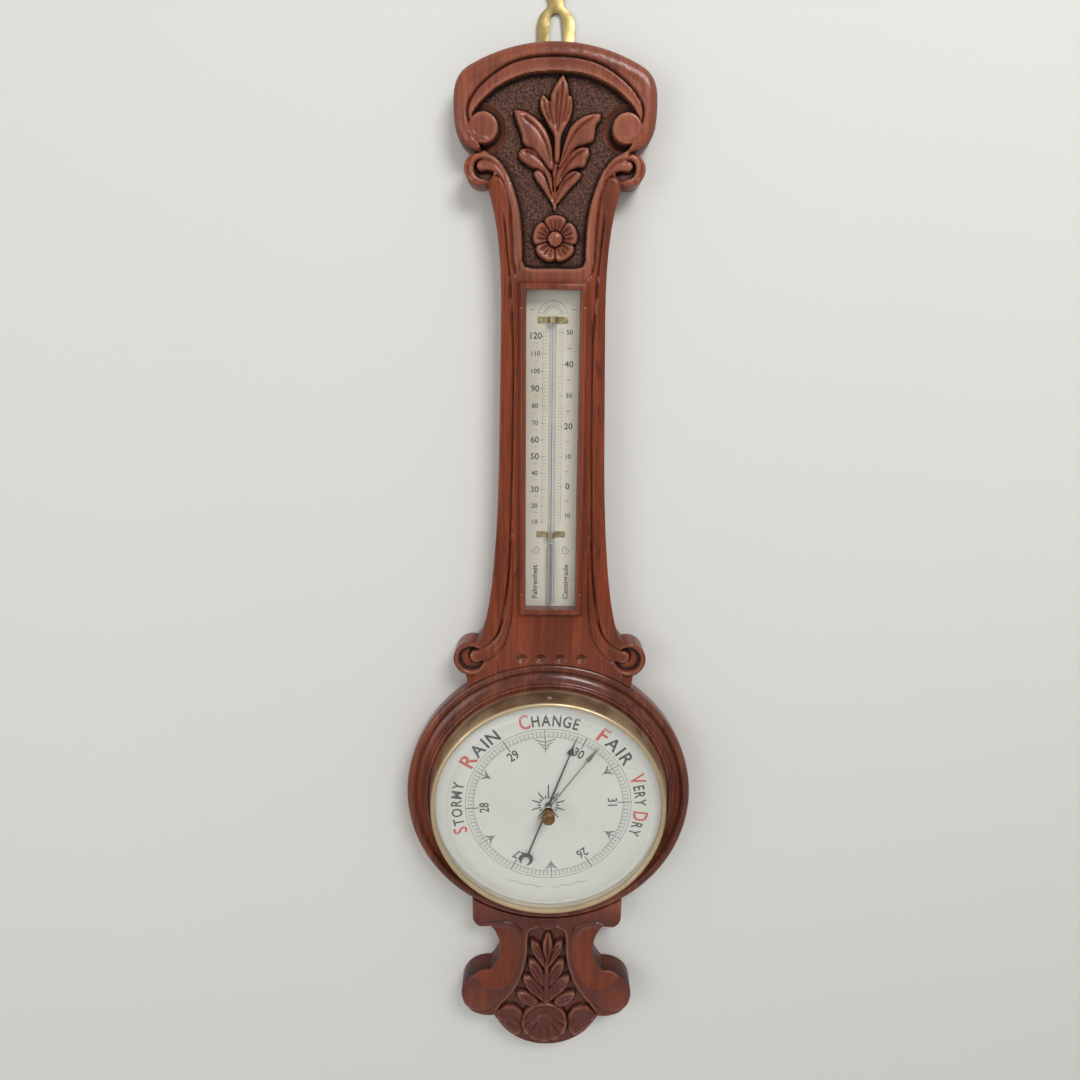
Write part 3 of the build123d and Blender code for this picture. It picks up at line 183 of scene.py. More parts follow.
def arc(centre, radius, start, end, count):
    """Points of an arc as (radius, depth) pairs, with its angles in degrees."""
    return [
        (
            centre[0] + radius * math.cos(math.radians(start + (end - start) * i / count)),
            centre[1] + radius * math.sin(math.radians(start + (end - start) * i / count)),
        )
        for i in range(count + 1)
    ]


def eased(node, bevel=0.00015, segments=2):
    """A merged copy of a node with softened arrises, which takes the node's place."""
    piece = new_object(node + "_eased", frame["nodes"][node].data.copy())
    edit_all(
        piece,
        (bpy.ops.mesh.remove_doubles, {"threshold": MERGE}),
        (bpy.ops.mesh.tris_convert_to_quads, {"face_threshold": 0.02, "shape_threshold": 0.8}),
    )
    if bevel:
        modifier = piece.modifiers.new("arris", "BEVEL")
        modifier.width = bevel
        modifier.segments = segments
        modifier.limit_method = "ANGLE"
        modifier.angle_limit = math.radians(50)
        modifier.use_clamp_overlap = True
        bpy.ops.object.modifier_apply(modifier=modifier.name)
    smooth_by_angle(piece, 40)
    return piece


# Finishes
def wire(tree, source, target):
    """Links one socket to another."""
    tree.links.new(source, target)


def put(tree, kind, **values):
    """A new node with its fields and named or numbered sockets set."""
    made = tree.nodes.new(kind)
    for key, value in values.items():
        if hasattr(made, key):
            setattr(made, key, value)
        else:
            made.inputs[key.replace("_", " ")].default_value = value
    return made


def make_group(name, inputs, outputs):
    """A shader node group with named sockets, and its two end nodes."""
    group = bpy.data.node_groups.new(name, "ShaderNodeTree")
    for label, kind, value in inputs:
        socket = group.interface.new_socket(name=label, in_out="INPUT", socket_type=kind)
        if value is not None:
            socket.default_value = value
    for label, kind in outputs:
        group.interface.new_socket(name=label, in_out="OUTPUT", socket_type=kind)
    return group, group.nodes.new("NodeGroupInput"), group.nodes.new("NodeGroupOutput")


def ramp(tree, source, low, high, first=0.0, last=1.0):
    """Eases a value from first at low to last at high."""
    node = put(tree, "ShaderNodeMapRange", interpolation_type="SMOOTHSTEP")
    node.inputs["From Min"].default_value = low
    node.inputs["From Max"].default_value = high
    node.inputs["To Min"].default_value = first
    node.inputs["To Max"].default_value = last
    wire(tree, source, node.inputs["Value"])
    return node.outputs["Result"]


def blend_colour(tree, factor, first, second):
    """Mixes two colours, each a socket or a value."""
    node = put(tree, "ShaderNodeMix", data_type="RGBA")
    for socket, value in (("Factor", factor), ("A", first), ("B", second)):
        target = [s for s in node.inputs if s.name == socket and s.enabled][0]
        if isinstance(value, bpy.types.NodeSocket):
            wire(tree, value, target)
        else:
            target.default_value = value
    return [s for s in node.outputs if s.enabled][0]


def calculate(tree, operation, first, second=0.0):
    """A Math node between two sockets or values."""
    node = put(tree, "ShaderNodeMath", operation=operation)
    for index, value in enumerate((first, second)):
        if isinstance(value, bpy.types.NodeSocket):
            wire(tree, value, node.inputs[index])
        else:
            node.inputs[index].default_value = value
    return node.outputs[0]


def noise_at(tree, vector, scale, detail=2.0, rough=0.5, warp=0.0):
    """Fractal noise over the piece."""
    node = put(tree, "ShaderNodeTexNoise")
    node.inputs["Scale"].default_value = scale
    node.inputs["Detail"].default_value = detail
    node.inputs["Roughness"].default_value = rough
    node.inputs["Distortion"].default_value = warp
    wire(tree, vector, node.inputs["Vector"])
    return node.outputs["Fac"]


def stretched(tree, vector, scale):
    """The coordinates, scaled along each axis."""
    node = put(tree, "ShaderNodeMapping")
    node.inputs["Scale"].default_value = scale
    wire(tree, vector, node.inputs["Vector"])
    return node.outputs["Vector"]


def oak_group():
    """Figure of stained oak: broad streaks, growth lines and short dark pores along the grain."""
    group, start, end = make_group(
        "oak_figure",
        [
            ("Vector", "NodeSocketVector", None),
            ("Face", "NodeSocketColor", (0.3, 0.08, 0.03, 1)),
            ("Deep", "NodeSocketColor", (0.1, 0.03, 0.02, 1)),
            ("Pores", "NodeSocketFloat", 0.6),
        ],
        [("Color", "NodeSocketColor"), ("Gloss", "NodeSocketFloat"), ("Height", "NodeSocketFloat")],
    )
    vector = start.outputs["Vector"]
    along = stretched(group, vector, (1, 1, 0.07))
    fine = stretched(group, vector, (1, 1, 0.035))
    streaks = ramp(group, noise_at(group, along, 70, 4, 0.6, 0.6), 0.32, 0.68)
    wave = put(group, "ShaderNodeTexWave", wave_type="BANDS", bands_direction="X")
    wave.inputs["Scale"].default_value = 60
    wave.inputs["Distortion"].default_value = 5
    wave.inputs["Detail"].default_value = 3
    wave.inputs["Detail Scale"].default_value = 1.5
    wire(group, along, wave.inputs["Vector"])
    lines = ramp(group, wave.outputs["Fac"], 0.55, 1.0)
    pore = ramp(group, noise_at(group, fine, 1100, 1, 0.5), 0.57, 0.68)
    patches = ramp(group, noise_at(group, vector, 22, 3, 0.5), 0.3, 0.75)
    pores = calculate(group, "MULTIPLY", pore, start.outputs["Pores"])
    tone = blend_colour(group, streaks, start.outputs["Deep"], start.outputs["Face"])
    half = calculate(group, "MULTIPLY", lines, 0.35)
    tone = blend_colour(group, half, tone, start.outputs["Deep"])
    tone = blend_colour(group, calculate(group, "MULTIPLY", patches, 0.30), tone, start.outputs["Face"])
    tone = blend_colour(group, pores, tone, (0.012, 0.005, 0.004, 1))
    wire(group, tone, end.inputs["Color"])
    faint = calculate(group, "MULTIPLY", patches, 0.10)
    wire(group, calculate(group, "ADD", faint, pores), end.inputs["Gloss"])
    rough = noise_at(group, fine, 500, 3, 0.6)
    wire(group, calculate(group, "SUBTRACT", rough, pores), end.inputs["Height"])
    return group


def tarnish_group():
    """Aged metal: brown patches, fine scratches round the piece and dull spots."""
    group, start, end = make_group(
        "tarnish",
        [
            ("Vector", "NodeSocketVector", None),
            ("Bright", "NodeSocketColor", (0.6, 0.45, 0.2, 1)),
            ("Dull", "NodeSocketColor", (0.2, 0.14, 0.07, 1)),
            ("Age", "NodeSocketFloat", 0.5),
        ],
        [("Color", "NodeSocketColor"), ("Rough", "NodeSocketFloat"), ("Height", "NodeSocketFloat")],
    )
    vector = start.outputs["Vector"]
    cloud = ramp(group, noise_at(group, vector, 55, 5, 0.62, 0.4), 0.35, 0.72)
    specks = ramp(group, noise_at(group, vector, 620, 2, 0.5), 0.62, 0.74)
    age = calculate(group, "MULTIPLY", cloud, start.outputs["Age"])
    tone = blend_colour(group, age, start.outputs["Bright"], start.outputs["Dull"])
    tone = blend_colour(group, calculate(group, "MULTIPLY", specks, 0.4), tone, start.outputs["Dull"])
    wire(group, tone, end.inputs["Color"])
    wire(group, calculate(group, "MULTIPLY", cloud, 0.22), end.inputs["Rough"])
    wire(group, noise_at(group, stretched(group, vector, (1, 1, 6)), 260, 3, 0.6), end.inputs["Height"])
    return group


def new_material(name):
    """A node material with its tree, its shader and Object coordinates."""
    material = bpy.data.materials.new(name)
    material.use_nodes = True
    tree = material.node_tree
    shader = tree.nodes["Principled BSDF"]
    place = put(tree, "ShaderNodeTexCoord")
    return material, tree, shader, place.outputs["Object"]


def bump(tree, shader, height, strength, distance):
    """Feeds the shader's normal from a height."""
    node = put(tree, "ShaderNodeBump")
    node.inputs["Strength"].default_value = strength
    node.inputs["Distance"].default_value = distance
    wire(tree, height, node.inputs["Height"])
    wire(tree, node.outputs["Normal"], shader.inputs["Normal"])


def use_group(tree, group, place, **values):
    """Places a shader node group with its own values."""
    node = tree.nodes.new("ShaderNodeGroup")
    node.node_tree = group
    wire(tree, place, node.inputs["Vector"])
    for key, value in values.items():
        node.inputs[key].default_value = value
    return node


def oak(name, face, deep, gloss, pores):
    """Stained and waxed oak."""
    material, tree, shader, place = new_material(name)
    figure = use_group(tree, finishes["oak_figure"], place, Face=face, Deep=deep, Pores=pores)
    wire(tree, figure.outputs["Color"], shader.inputs["Base Color"])
    wire(tree, ramp(tree, figure.outputs["Gloss"], 0, 1, gloss, gloss + 0.4), shader.inputs["Roughness"])
    shader.inputs["Specular IOR Level"].default_value = 0.25
    shader.inputs["Coat Weight"].default_value = 0.25
    shader.inputs["Coat Roughness"].default_value = 0.14
    bump(tree, shader, figure.outputs["Height"], 0.25, 0.0002)
    return material


def carved_oak(face, deep, rail, ground, wine):
    """The board's finish: worn rails, painted shade in the hollows, wear with painted highlight on the
    raised relief, a dull punched ground and a wine-red apron.
    """
    material, tree, shader, place = new_material("carved_oak")
    figure = use_group(tree, finishes["oak_figure"], place, Face=face, Deep=deep, Pores=0.35)
    darker = tuple(v * 0.5 for v in rail[:3]) + (1,)
    bright = use_group(tree, finishes["oak_figure"], place, Face=rail, Deep=darker, Pores=0.45)
    marks = {}
    for label in ("hollow", "rail", "ground", "apron", "worn"):
        marks[label] = put(tree, "ShaderNodeAttribute", attribute_name=label).outputs["Fac"]
    cloud = noise_at(tree, stretched(tree, place, (1.6, 1, 0.5)), 46, 5, 0.65)
    stain = ramp(tree, cloud, 0.56, 0.72, 0.0, 0.85)
    rails = blend_colour(tree, stain, bright.outputs["Color"], (0.028, 0.009, 0.006, 1))
    tone = blend_colour(tree, marks["rail"], figure.outputs["Color"], rails)
    mottle = noise_at(tree, place, 520, 4, 0.75)
    dust = blend_colour(tree, ramp(tree, mottle, 0.40, 0.64), (0.032, 0.012, 0.008, 1), ground)
    tone = blend_colour(tree, marks["ground"], tone, dust)
    wine_tone = blend_colour(tree, 0.85, figure.outputs["Color"], wine)
    tone = blend_colour(tree, marks["apron"], tone, wine_tone)
    # raised relief made lighter: wear with painted highlight
    worn = calculate(tree, "MULTIPLY", marks["worn"], 0.35)
    tone = blend_colour(tree, worn, tone, (0.38, 0.15, 0.085, 1))
    # hollows made near black: painted shade
    tone = blend_colour(tree, marks["hollow"], tone, (0.016, 0.007, 0.006, 1))
    wire(tree, tone, shader.inputs["Base Color"])
    dull = calculate(tree, "ADD", calculate(tree, "MULTIPLY", marks["ground"], 0.30),
                     calculate(tree, "MULTIPLY", marks["hollow"], 0.25))
    wire(tree, calculate(tree, "ADD", dull, ramp(tree, figure.outputs["Gloss"], 0, 1, 0.30, 0.62)),
         shader.inputs["Roughness"])
    shader.inputs["Specular IOR Level"].default_value = 0.20
    wire(tree, ramp(tree, marks["ground"], 0, 1, 0.22, 0.0), shader.inputs["Coat Weight"])
    shader.inputs["Coat Roughness"].default_value = 0.16
    punched = calculate(tree, "MULTIPLY", calculate(tree, "MULTIPLY", mottle, marks["ground"]), 5.0)
    bump(tree, shader, calculate(tree, "ADD", figure.outputs["Height"], punched), 0.35, 0.0002)
    return material


def metal(name, bright, dull, rough, age):
    """Aged metal with fine scratches."""
    material, tree, shader, place = new_material(name)
    aged = use_group(tree, finishes["tarnish"], place, Bright=bright, Dull=dull, Age=age)
    wire(tree, aged.outputs["Color"], shader.inputs["Base Color"])
    wire(tree, calculate(tree, "ADD", aged.outputs["Rough"], rough), shader.inputs["Roughness"])
    shader.inputs["Metallic"].default_value = 1.0
    bump(tree, shader, aged.outputs["Height"], 0.15, 0.0001)
    return material


def enamel(name, colour, stain, rough):
    """Opal glass or enamel with faint yellowing."""
    material, tree, shader, place = new_material(name)
    cloud = ramp(tree, noise_at(tree, place, 28, 4, 0.6), 0.35, 0.8, 0.0, 0.5)
    specks = ramp(tree, noise_at(tree, place, 700, 2, 0.5), 0.68, 0.76, 0.0, 0.25)
    tone = blend_colour(tree, cloud, colour, stain)
    wire(tree, blend_colour(tree, specks, tone, stain), shader.inputs["Base Color"])
    wire(tree, ramp(tree, cloud, 0, 1, rough, rough + 0.15), shader.inputs["Roughness"])
    bump(tree, shader, noise_at(tree, place, 240, 2, 0.5), 0.04, 0.0001)
    return material


def ink(name, colour):
    """Printed ink that has worn a little thin."""
    material, tree, shader, place = new_material(name)
    thin = ramp(tree, noise_at(tree, place, 480, 3, 0.6), 0.45, 0.8, 0.0, 0.35)
    wire(tree, blend_colour(tree, thin, colour, (0.30, 0.28, 0.25, 1)), shader.inputs["Base Color"])
    shader.inputs["Roughness"].default_value = 0.45
    return material


def glass(name, tint, clear):
    """Clear glass seen through its surface: a faint tint, and more reflection at a slant."""
    material, tree, shader, place = new_material(name)
    edge = put(tree, "ShaderNodeFresnel")
    edge.inputs["IOR"].default_value = 1.5
    smear = ramp(tree, noise_at(tree, place, 40, 4, 0.6), 0.4, 0.8, 0.0, 0.03)
    # clear adds a steady share of the pale tint: on the bevel ring this is painted reflection that lightens
    # it
    cover = calculate(tree, "ADD", calculate(tree, "MULTIPLY", edge.outputs[0], 0.8), clear)
    rays = put(tree, "ShaderNodeLightPath")
    seen = calculate(tree, "MAXIMUM", rays.outputs["Is Shadow Ray"], rays.outputs["Is Diffuse Ray"])
    seen = calculate(tree, "SUBTRACT", 1.0, seen)
    cover = calculate(tree, "MINIMUM", calculate(tree, "ADD", cover, smear), 1.0)
    wire(tree, calculate(tree, "MULTIPLY", cover, seen), shader.inputs["Alpha"])
    shader.inputs["Base Color"].default_value = tint
    shader.inputs["Roughness"].default_value = 0.03
    shader.inputs["IOR"].default_value = 1.5
    shader.inputs["Specular IOR Level"].default_value = 1.0
    return material


finishes = {}

# Bright and dull colour, roughness and age of each metal
METALS = {
    "aged_brass": ((0.42, 0.33, 0.14), (0.12, 0.08, 0.03), 0.34, 0.7),
    "bezel_brass": ((0.60, 0.47, 0.30), (0.38, 0.28, 0.17), 0.34, 0.45),
    "spun_brass": ((0.60, 0.48, 0.26), (0.3, 0.2, 0.1), 0.35, 0.4),
    "knob_brass": ((0.34, 0.19, 0.09), (0.10, 0.05, 0.025), 0.22, 0.7),
    "thin_brass": ((0.26, 0.21, 0.13), (0.1, 0.08, 0.05), 0.35, 0.4),
    "plate_brass": ((0.66, 0.50, 0.24), (0.34, 0.22, 0.1), 0.28, 0.35),
    "brass_screw": ((0.48, 0.36, 0.18), (0.16, 0.1, 0.05), 0.36, 0.6),
    "steel_screw": ((0.44, 0.42, 0.39), (0.12, 0.09, 0.07), 0.36, 0.6),
    "spring_steel": ((0.5, 0.5, 0.52), (0.25, 0.24, 0.24), 0.24, 0.3),
    "blued_steel": ((0.022, 0.026, 0.045), (0.01, 0.01, 0.014), 0.28, 0.4),
    "black_iron": ((0.05, 0.05, 0.05), (0.02, 0.018, 0.016), 0.5, 0.5),
    "drum_tin": ((0.55, 0.52, 0.46), (0.22, 0.17, 0.11), 0.38, 0.7),
    "capsule_metal": ((0.68, 0.66, 0.62), (0.4, 0.36, 0.3), 0.22, 0.3),
    "mercury": ((0.034, 0.032, 0.024), (0.02, 0.018, 0.014), 0.4, 0.3),
}


def make_finishes():
    """Builds the shared groups and every material."""
    finishes["oak_figure"] = oak_group()
    finishes["tarnish"] = tarnish_group()
    wood = bpy.context.scene.barometer_wood
    stains = [tuple(stain) + (1,) for stain in (wood.face, wood.deep, wood.rail, wood.ground, wood.wine)]
    finishes["carved_oak"] = carved_oak(*stains)
    finishes["turned_oak"] = oak("turned_oak", (0.19, 0.052, 0.027, 1), (0.07, 0.018, 0.011, 1), 0.22, 0.5)
    finishes["moulded_oak"] = oak("moulded_oak", (0.21, 0.046, 0.019, 1), (0.10, 0.022, 0.011, 1), 0.28, 0.4)
    for name, (bright, dull, rough, age) in METALS.items():
        finishes[name] = metal(name, bright + (1,), dull + (1,), rough, age)
    finishes["cream_scale"] = enamel("cream_scale", (0.55, 0.52, 0.43, 1), (0.44, 0.40, 0.30, 1), 0.35)
    finishes["white_dial"] = enamel("white_dial", (0.54, 0.55, 0.505, 1), (0.48, 0.485, 0.42, 1), 0.25)
    finishes["clear_glass"] = glass("clear_glass", (0.85, 0.88, 0.86, 1), 0.0)
    # the bevel ring's steady pale cover is painted reflection
    finishes["bevel_glass"] = glass("bevel_glass", (0.86, 0.88, 0.86, 1), 0.16)
    finishes["tube_glass"] = glass("tube_glass", (0.50, 0.50, 0.50, 1), 0.10)
    finishes["black_ink"] = ink("black_ink", (0.016, 0.015, 0.015, 1))
    finishes["grey_ink"] = ink("grey_ink", (0.12, 0.12, 0.115, 1))
    finishes["red_ink"] = ink("red_ink", (0.46, 0.040, 0.022, 1))


# Carving
def ease(low, high, value):
    """Goes smoothly from 0 at low to 1 at high."""
    step = np.clip((value - low) / (high - low), 0.0, 1.0)
    return step * step * (3.0 - 2.0 * step)


def curved(knots, closed, count=5):
    """Points of a smooth curve through the knots. A knot given twice stays a corner."""
    knots = np.array(knots, float)
    total = len(knots)
    points = []
    for index in range(total if closed else total - 1):
        if closed:
            before, a, b, after = (knots[(index + shift) % total] for shift in (-1, 0, 1, 2))
        else:
            before, a = knots[max(index - 1, 0)], knots[index]
            b, after = knots[index + 1], knots[min(index + 2, total - 1)]
        for step in range(count):
            t = step / count
            points.append(0.5 * (
                2 * a + (b - before) * t
                + (2 * before - 5 * a + 4 * b - after) * t ** 2
                + (3 * a - before - 3 * b + after) * t ** 3
            ))
    if not closed:
        points.append(knots[-1])
    return np.array(points)


def line_distance(x, drop, line, closed=False):
    """Distance to a line of points, and how far along it as a share."""
    best = np.full(x.shape, 1e9)
    where = np.zeros(x.shape)
    pieces = len(line) if closed else len(line) - 1
    for index in range(pieces):
        a, b = line[index], line[(index + 1) % len(line)]
        d = b - a
        length = d @ d + 1e-9
        t = np.clip(((x - a[0]) * d[0] + (drop - a[1]) * d[1]) / length, 0.0, 1.0)
        distance = np.hypot(x - a[0] - t * d[0], drop - a[1] - t * d[1])
        nearer = distance < best
        best = np.where(nearer, distance, best)
        where = np.where(nearer, (index + t) / pieces, where)
    return best, where


def depth_inside(x, drop, loop):
    """Distance to a closed loop, positive inside it."""
    distance, _ = line_distance(x, drop, loop, True)
    return np.where(inside_outline(x, drop, loop), distance, -distance)


def near(x, drop, line, reach):
    """The points in the box round a line, widened by reach."""
    low = line.min(0) - reach
    high = line.max(0) + reach
    return (x > low[0]) & (x < high[0]) & (drop > low[1]) & (drop < high[1])


def cut(depth, x, drop, knots, width, deep, fade=True):
    """A cut line along a curve, with tapered ends."""
    line = curved(knots, False)
    found = near(x, drop, line, width * 3 + 1)
    distance, where = line_distance(x[found], drop[found], line)
    taper = ease(0.0, 0.12, where) * (1.0 - ease(0.88, 1.0, where)) if fade else 1.0
    depth[found] -= deep * np.exp(-(distance / width) ** 2) * taper


def ribbon(depth, x, drop, knots, widths, crest, moat=0.0, crown=1.6):
    """Raises a rounded band along a curve, with a cut line beside it."""
    line = curved(knots, False)
    found = near(x, drop, line, max(widths) + 4)
    distance, where = line_distance(x[found], drop[found], line)
    width = np.interp(where, np.linspace(0, 1, len(widths)), widths)
    gap = distance - width
    top = crest - crown * np.clip(distance / width, 0, 1) ** 2.4
    local = depth[found]
    local = local - moat * np.clip(width / 2.2, 0, 1) * (1.0 - ease(0.6, 1.7, gap))
    depth[found] = local + (top - local) * (1.0 - ease(-0.5, 0.3, gap))


def form(depth, ground, x, drop, knots, foot, rise, shoulder=4.0, ribs=(), moat=0.5,
         vein=(1.5, 0.75, 0.6), curl=None):
    """Raises a carved shape with rounded sides, cut ribs and a curled tip from its closed outline."""
    loop = curved(knots, True, 4)
    found = near(x, drop, loop, 2.5)
    px, py = x[found], drop[found]
    gap = depth_inside(px, py, loop)
    round_off = np.clip(gap / shoulder, 0, 1)
    top = foot + rise * (0.5 + 0.5 * np.sqrt(1.0 - (1.0 - round_off) ** 2))
    for rib in ribs:
        distance, where = line_distance(px, py, curved(rib, False))
        taper = 1.0 - 0.7 * ease(0.85, 1.0, where)
        narrow, broad = np.exp(-(distance / vein[1]) ** 2), np.exp(-(distance / 2.6) ** 2)
        top = top - taper * (vein[0] * narrow + vein[2] * broad)
    if curl is not None:
        top = top + 1.3 * np.exp(-(np.hypot(px - curl[0], py - curl[1]) / 3.2) ** 2)
    inside = ease(-0.25, 0.3, gap)
    local = depth[found] - moat * (1.0 - ease(0.3, 1.6, -gap))
    depth[found] = local + (top - local) * inside
    ground[found] *= 1.0 - inside


def flower(depth, ground, x, drop, centre, radius, foot):
    """A rosette of five dished petals with gouge cuts and a domed boss."""
    found = np.hypot(x - centre[0], drop - centre[1]) < radius + 2
    dx, dy = x[found] - centre[0], drop[found] - centre[1]
    r = np.hypot(dx, dy)
    angle = np.degrees(np.arctan2(dx, -dy))
    off_middle = np.abs((angle + 36.0) % 72.0 - 36.0)
    share = off_middle / 36.0
    rim = radius * (1.0 - 0.15 * share ** 4.0)
    u = r / rim
    top = foot + 1.9 + 3.6 * ease(0.28, 0.90, u) - 1.5 * ease(0.90, 1.0, u)
    for middle in (0.0, 17.0):
        line = np.exp(-((off_middle - middle) / (3.4 if middle else 2.6)) ** 2)
        top = top - 1.3 * line * ease(0.36, 0.46, u) * (1.0 - ease(0.74, 0.84, u))
    top = top - 2.6 * np.exp(-((1.0 - share) / 0.085) ** 2) * ease(0.3, 0.5, u)
    boss = 5.6
    pits = 0.35 * np.abs(np.sin(dx * 2.4) * np.sin(dy * 2.4))
    dome = foot + 6.2 - 0.06 * r ** 2 - pits
    top = np.where(r < boss, dome, top - 1.5 * np.exp(-((r - boss - 0.4) / 0.6) ** 2))
    inside = 1.0 - ease(-0.4, 0.35, r - rim)
    local = depth[found] - 0.6 * (1.0 - ease(0.3, 1.6, r - rim))
    depth[found] = local + (top - local) * inside
    ground[found] *= 1.0 - inside


def both_sides(knots):
    """A closed outline from its right half, given from the top down."""
    return list(knots) + [(-px, py) for px, py in reversed(knots) if px]


CREST_LINE = [
    (0, 51.0), (17, 51.9), (32.5, 55.7), (45.5, 62.6), (56, 70.8), (63.2, 79.5), (66.0, 86),
    (66.2, 91.5), (64.6, 97),
]
CREST_ARC = [
    (0, 61.0), (8, 61.2), (21.3, 62.6), (33.5, 66.6), (45, 72.5), (54.3, 80), (60, 86.2), (62.9, 91.5),
    (64.4, 96.6),
]
BEAD_EDGE = [
    (57.2, 116.6), (50.6, 117.6), (43.6, 121.8), (37.4, 129.9), (33.0, 139.2), (29.8, 148.6),
    (26.8, 160.5), (25.5, 173.8), (25.0, 189.5), (24.7, 195.5), (20.2, 200.4), (0, 200.6),
]
HEAD_PANEL = CREST_ARC + [(62.5, 101), (60.4, 106.5), (58.0, 111.2), (55.0, 115.0)] + BEAD_EDGE[1:]
BEAD = [
    (28.6, 210), (28.3, 199), (28.1, 186), (29.4, 168), (31.9, 152), (35.6, 140.5), (40.8, 130.5),
    (46.5, 123.6), (52.5, 120.5), (58.2, 119.9), (62.6, 122.6), (64.2, 127.2), (63.3, 132.6),
    (60, 136.2), (55.8, 137.4), (52.8, 137.2),
]
BEAD_WIDTHS = [0.3, 2.2, 3.1, 3.1, 3.0, 2.9, 2.8, 2.7, 2.6, 2.6, 2.5, 2.4, 2.3, 2.1, 1.7, 0.7]
TONGUE = [(37.0, 141.5), (38.6, 136.5), (41.6, 131.8), (46.0, 128.0), (51.0, 126.0), (56.0, 126.2)]
TONGUE_WIDTHS = [0.5, 1.3, 2.2, 3.0, 3.7, 3.9]
STRIP = [(66, 214), (66, 150), (52.5, 143.5), (50.0, 138.2), (47.6, 134.9), (43.7, 133.4), (39.9, 134.6),
         (37.9, 138.2), (35.5, 146.1), (34.1, 155.6), (33.4, 167.7), (32.5, 180), (32.0, 196), (31.6, 214)]
RAIL_LINE = [
    (40.8, 147), (39.4, 160), (38.0, 172), (36.3, 190), (34.4, 210), (32.6, 240), (31.8, 270),
    (32.0, 300), (32.4, 330), (33.0, 360), (33.8, 390), (35.0, 429), (36.8, 455), (39.2, 474.6),
    (41.7, 487.7), (44.8, 502.1), (50.3, 512.2), (57.5, 515.0),
]
FOOT_BAND = [
    (32.6, 410), (33.0, 427), (33.5, 444), (34.4, 462), (36.0, 481), (38.6, 496), (42.5, 508),
    (48.5, 517), (56, 523), (65, 525.4),
]
FOOT_WIDTHS = [0.2, 0.7, 1.3, 2.0, 2.6, 3.4, 4.4, 5.2, 5.9, 5.6]
FOOT_CREASE = [(34.0, 455), (35.5, 481), (37.4, 494), (40.5, 506), (45.4, 514.6), (52.8, 520.3)]

THIRD_LEFT = [(-16.1, 130.6), (-12.5, 128.2), (-7.5, 129.4), (-3.6, 135.2), (-1.0, 143.5), (-0.3, 154.2),
              (-4.7, 148.3), (-9.9, 141.2), (-14.4, 135.3)]
THIRD_RIGHT = [
    (20.6, 132.1), (16.7, 129.0), (10.4, 130.4), (4.7, 136.9), (1.0, 145.8), (1.2, 153.0),
    (5.5, 149.4), (11.8, 142.2), (17.5, 136.8),
]
SECOND_LEFT = [(-28.0, 117.4), (-25.2, 113.9), (-17.7, 113.8), (-10.3, 119.0), (-5.0, 126.4), (-1.6, 136.4),
               (-2.3, 145.5), (-6.1, 134.1), (-11.3, 128.9), (-17.6, 127.0), (-23.6, 123.6), (-26.9, 120.5)]
SECOND_RIGHT = [
    (25.6, 112.8), (25.6, 112.8), (20.2, 112.3), (13.2, 115.0), (6.5, 122.0), (1.8, 130.5),
    (0.8, 140.4), (3.1, 139.7), (9.1, 131.4), (16.6, 127.2), (22.6, 126.2), (24.6, 121.6),
    (26.6, 117.2),
]
BIG_LEFT = [
    (-31.4, 86.9), (-31.4, 86.9), (-24.1, 87.6), (-16.5, 91.2), (-9.6, 97.2), (-4.8, 104.9),
    (-2.0, 115.3), (-1.2, 127.6), (-5.2, 127.4), (-11.3, 119.6), (-16.4, 114.6), (-21.5, 112.6),
    (-24.8, 108.7), (-25.6, 104.1), (-27.6, 98.8), (-30.0, 92.5),
]
BIG_RIGHT = [
    (34.5, 88.9), (34.5, 88.9), (26.0, 89.6), (18.5, 92.5), (12.0, 98.3), (8.2, 106.6), (5.2, 116.4),
    (2.6, 126.6), (5.2, 126.6), (10.8, 118.4), (16.4, 112.9), (23.2, 110.6), (28.9, 108.2),
    (30.3, 102.4), (31.0, 97.2), (34.2, 93.4),
]
MIDDLE = [
    (5.6, 62.6), (5.6, 62.6), (9.4, 69.4), (10.1, 76.6), (12.4, 77.6), (13.0, 84.9), (11.1, 92.8),
    (7.6, 99.5), (4.6, 106), (3.6, 122), (-0.2, 122), (-0.6, 106), (-3.6, 99.5), (-6.2, 95.8),
    (-9.8, 89.0), (-11.8, 83.1), (-10.0, 76.6), (-6.6, 78.6), (-4.0, 81.0), (-3.4, 76.2), (0.6, 68.5),
]
HEAD_LEAVES = [
    (THIRD_LEFT, 4.9, 3.2, ([(-8.6, 130.2), (-5.9, 135.8), (-3.6, 142.3), (-1.2, 152)],)),
    (THIRD_RIGHT, 4.9, 3.2, ([(15.6, 131.2), (11.1, 134.8), (6.5, 138.8), (3.1, 144.6), (1.4, 151)],)),
    (
        SECOND_LEFT,
        5.6,
        3.6,
        ([(-22.0, 115.8), (-15.6, 117.8), (-9.8, 122.6), (-4.5, 129.6), (-2.2, 138)],),
    ),
    (
        SECOND_RIGHT,
        5.6,
        3.6,
        ([(22.4, 114.8), (17.0, 118.0), (11.6, 123.0), (7.0, 129.6), (3.2, 137.6)],),
    ),
    (
        BIG_LEFT,
        6.3,
        4.6,
        ([(-22.6, 92.6), (-15.4, 97.9), (-10.8, 103.2), (-7.0, 110), (-4.2, 118), (-2.4, 126)],),
    ),
    (
        BIG_RIGHT,
        6.3,
        4.6,
        ([(28.4, 92.2), (22.4, 96.0), (16.5, 101.2), (12.0, 107.6), (8.2, 115.2), (4.4, 124)],),
    ),
    (
        MIDDLE,
        6.4,
        3.0,
        (
            [(5.4, 68.5), (4.6, 80), (3.0, 94), (1.8, 104)],
            [(1.6, 76), (0.9, 86), (1.0, 98)],
            [(8.6, 77), (7.6, 86), (4.8, 97)],
            [(11.4, 82.0), (9.8, 89), (6.8, 96)],
            [(-4.4, 83.1), (-3.6, 89), (-1.4, 98)],
            [(-8.8, 80.6), (-7.2, 88), (-3.6, 96)],
        ),
    ),
]

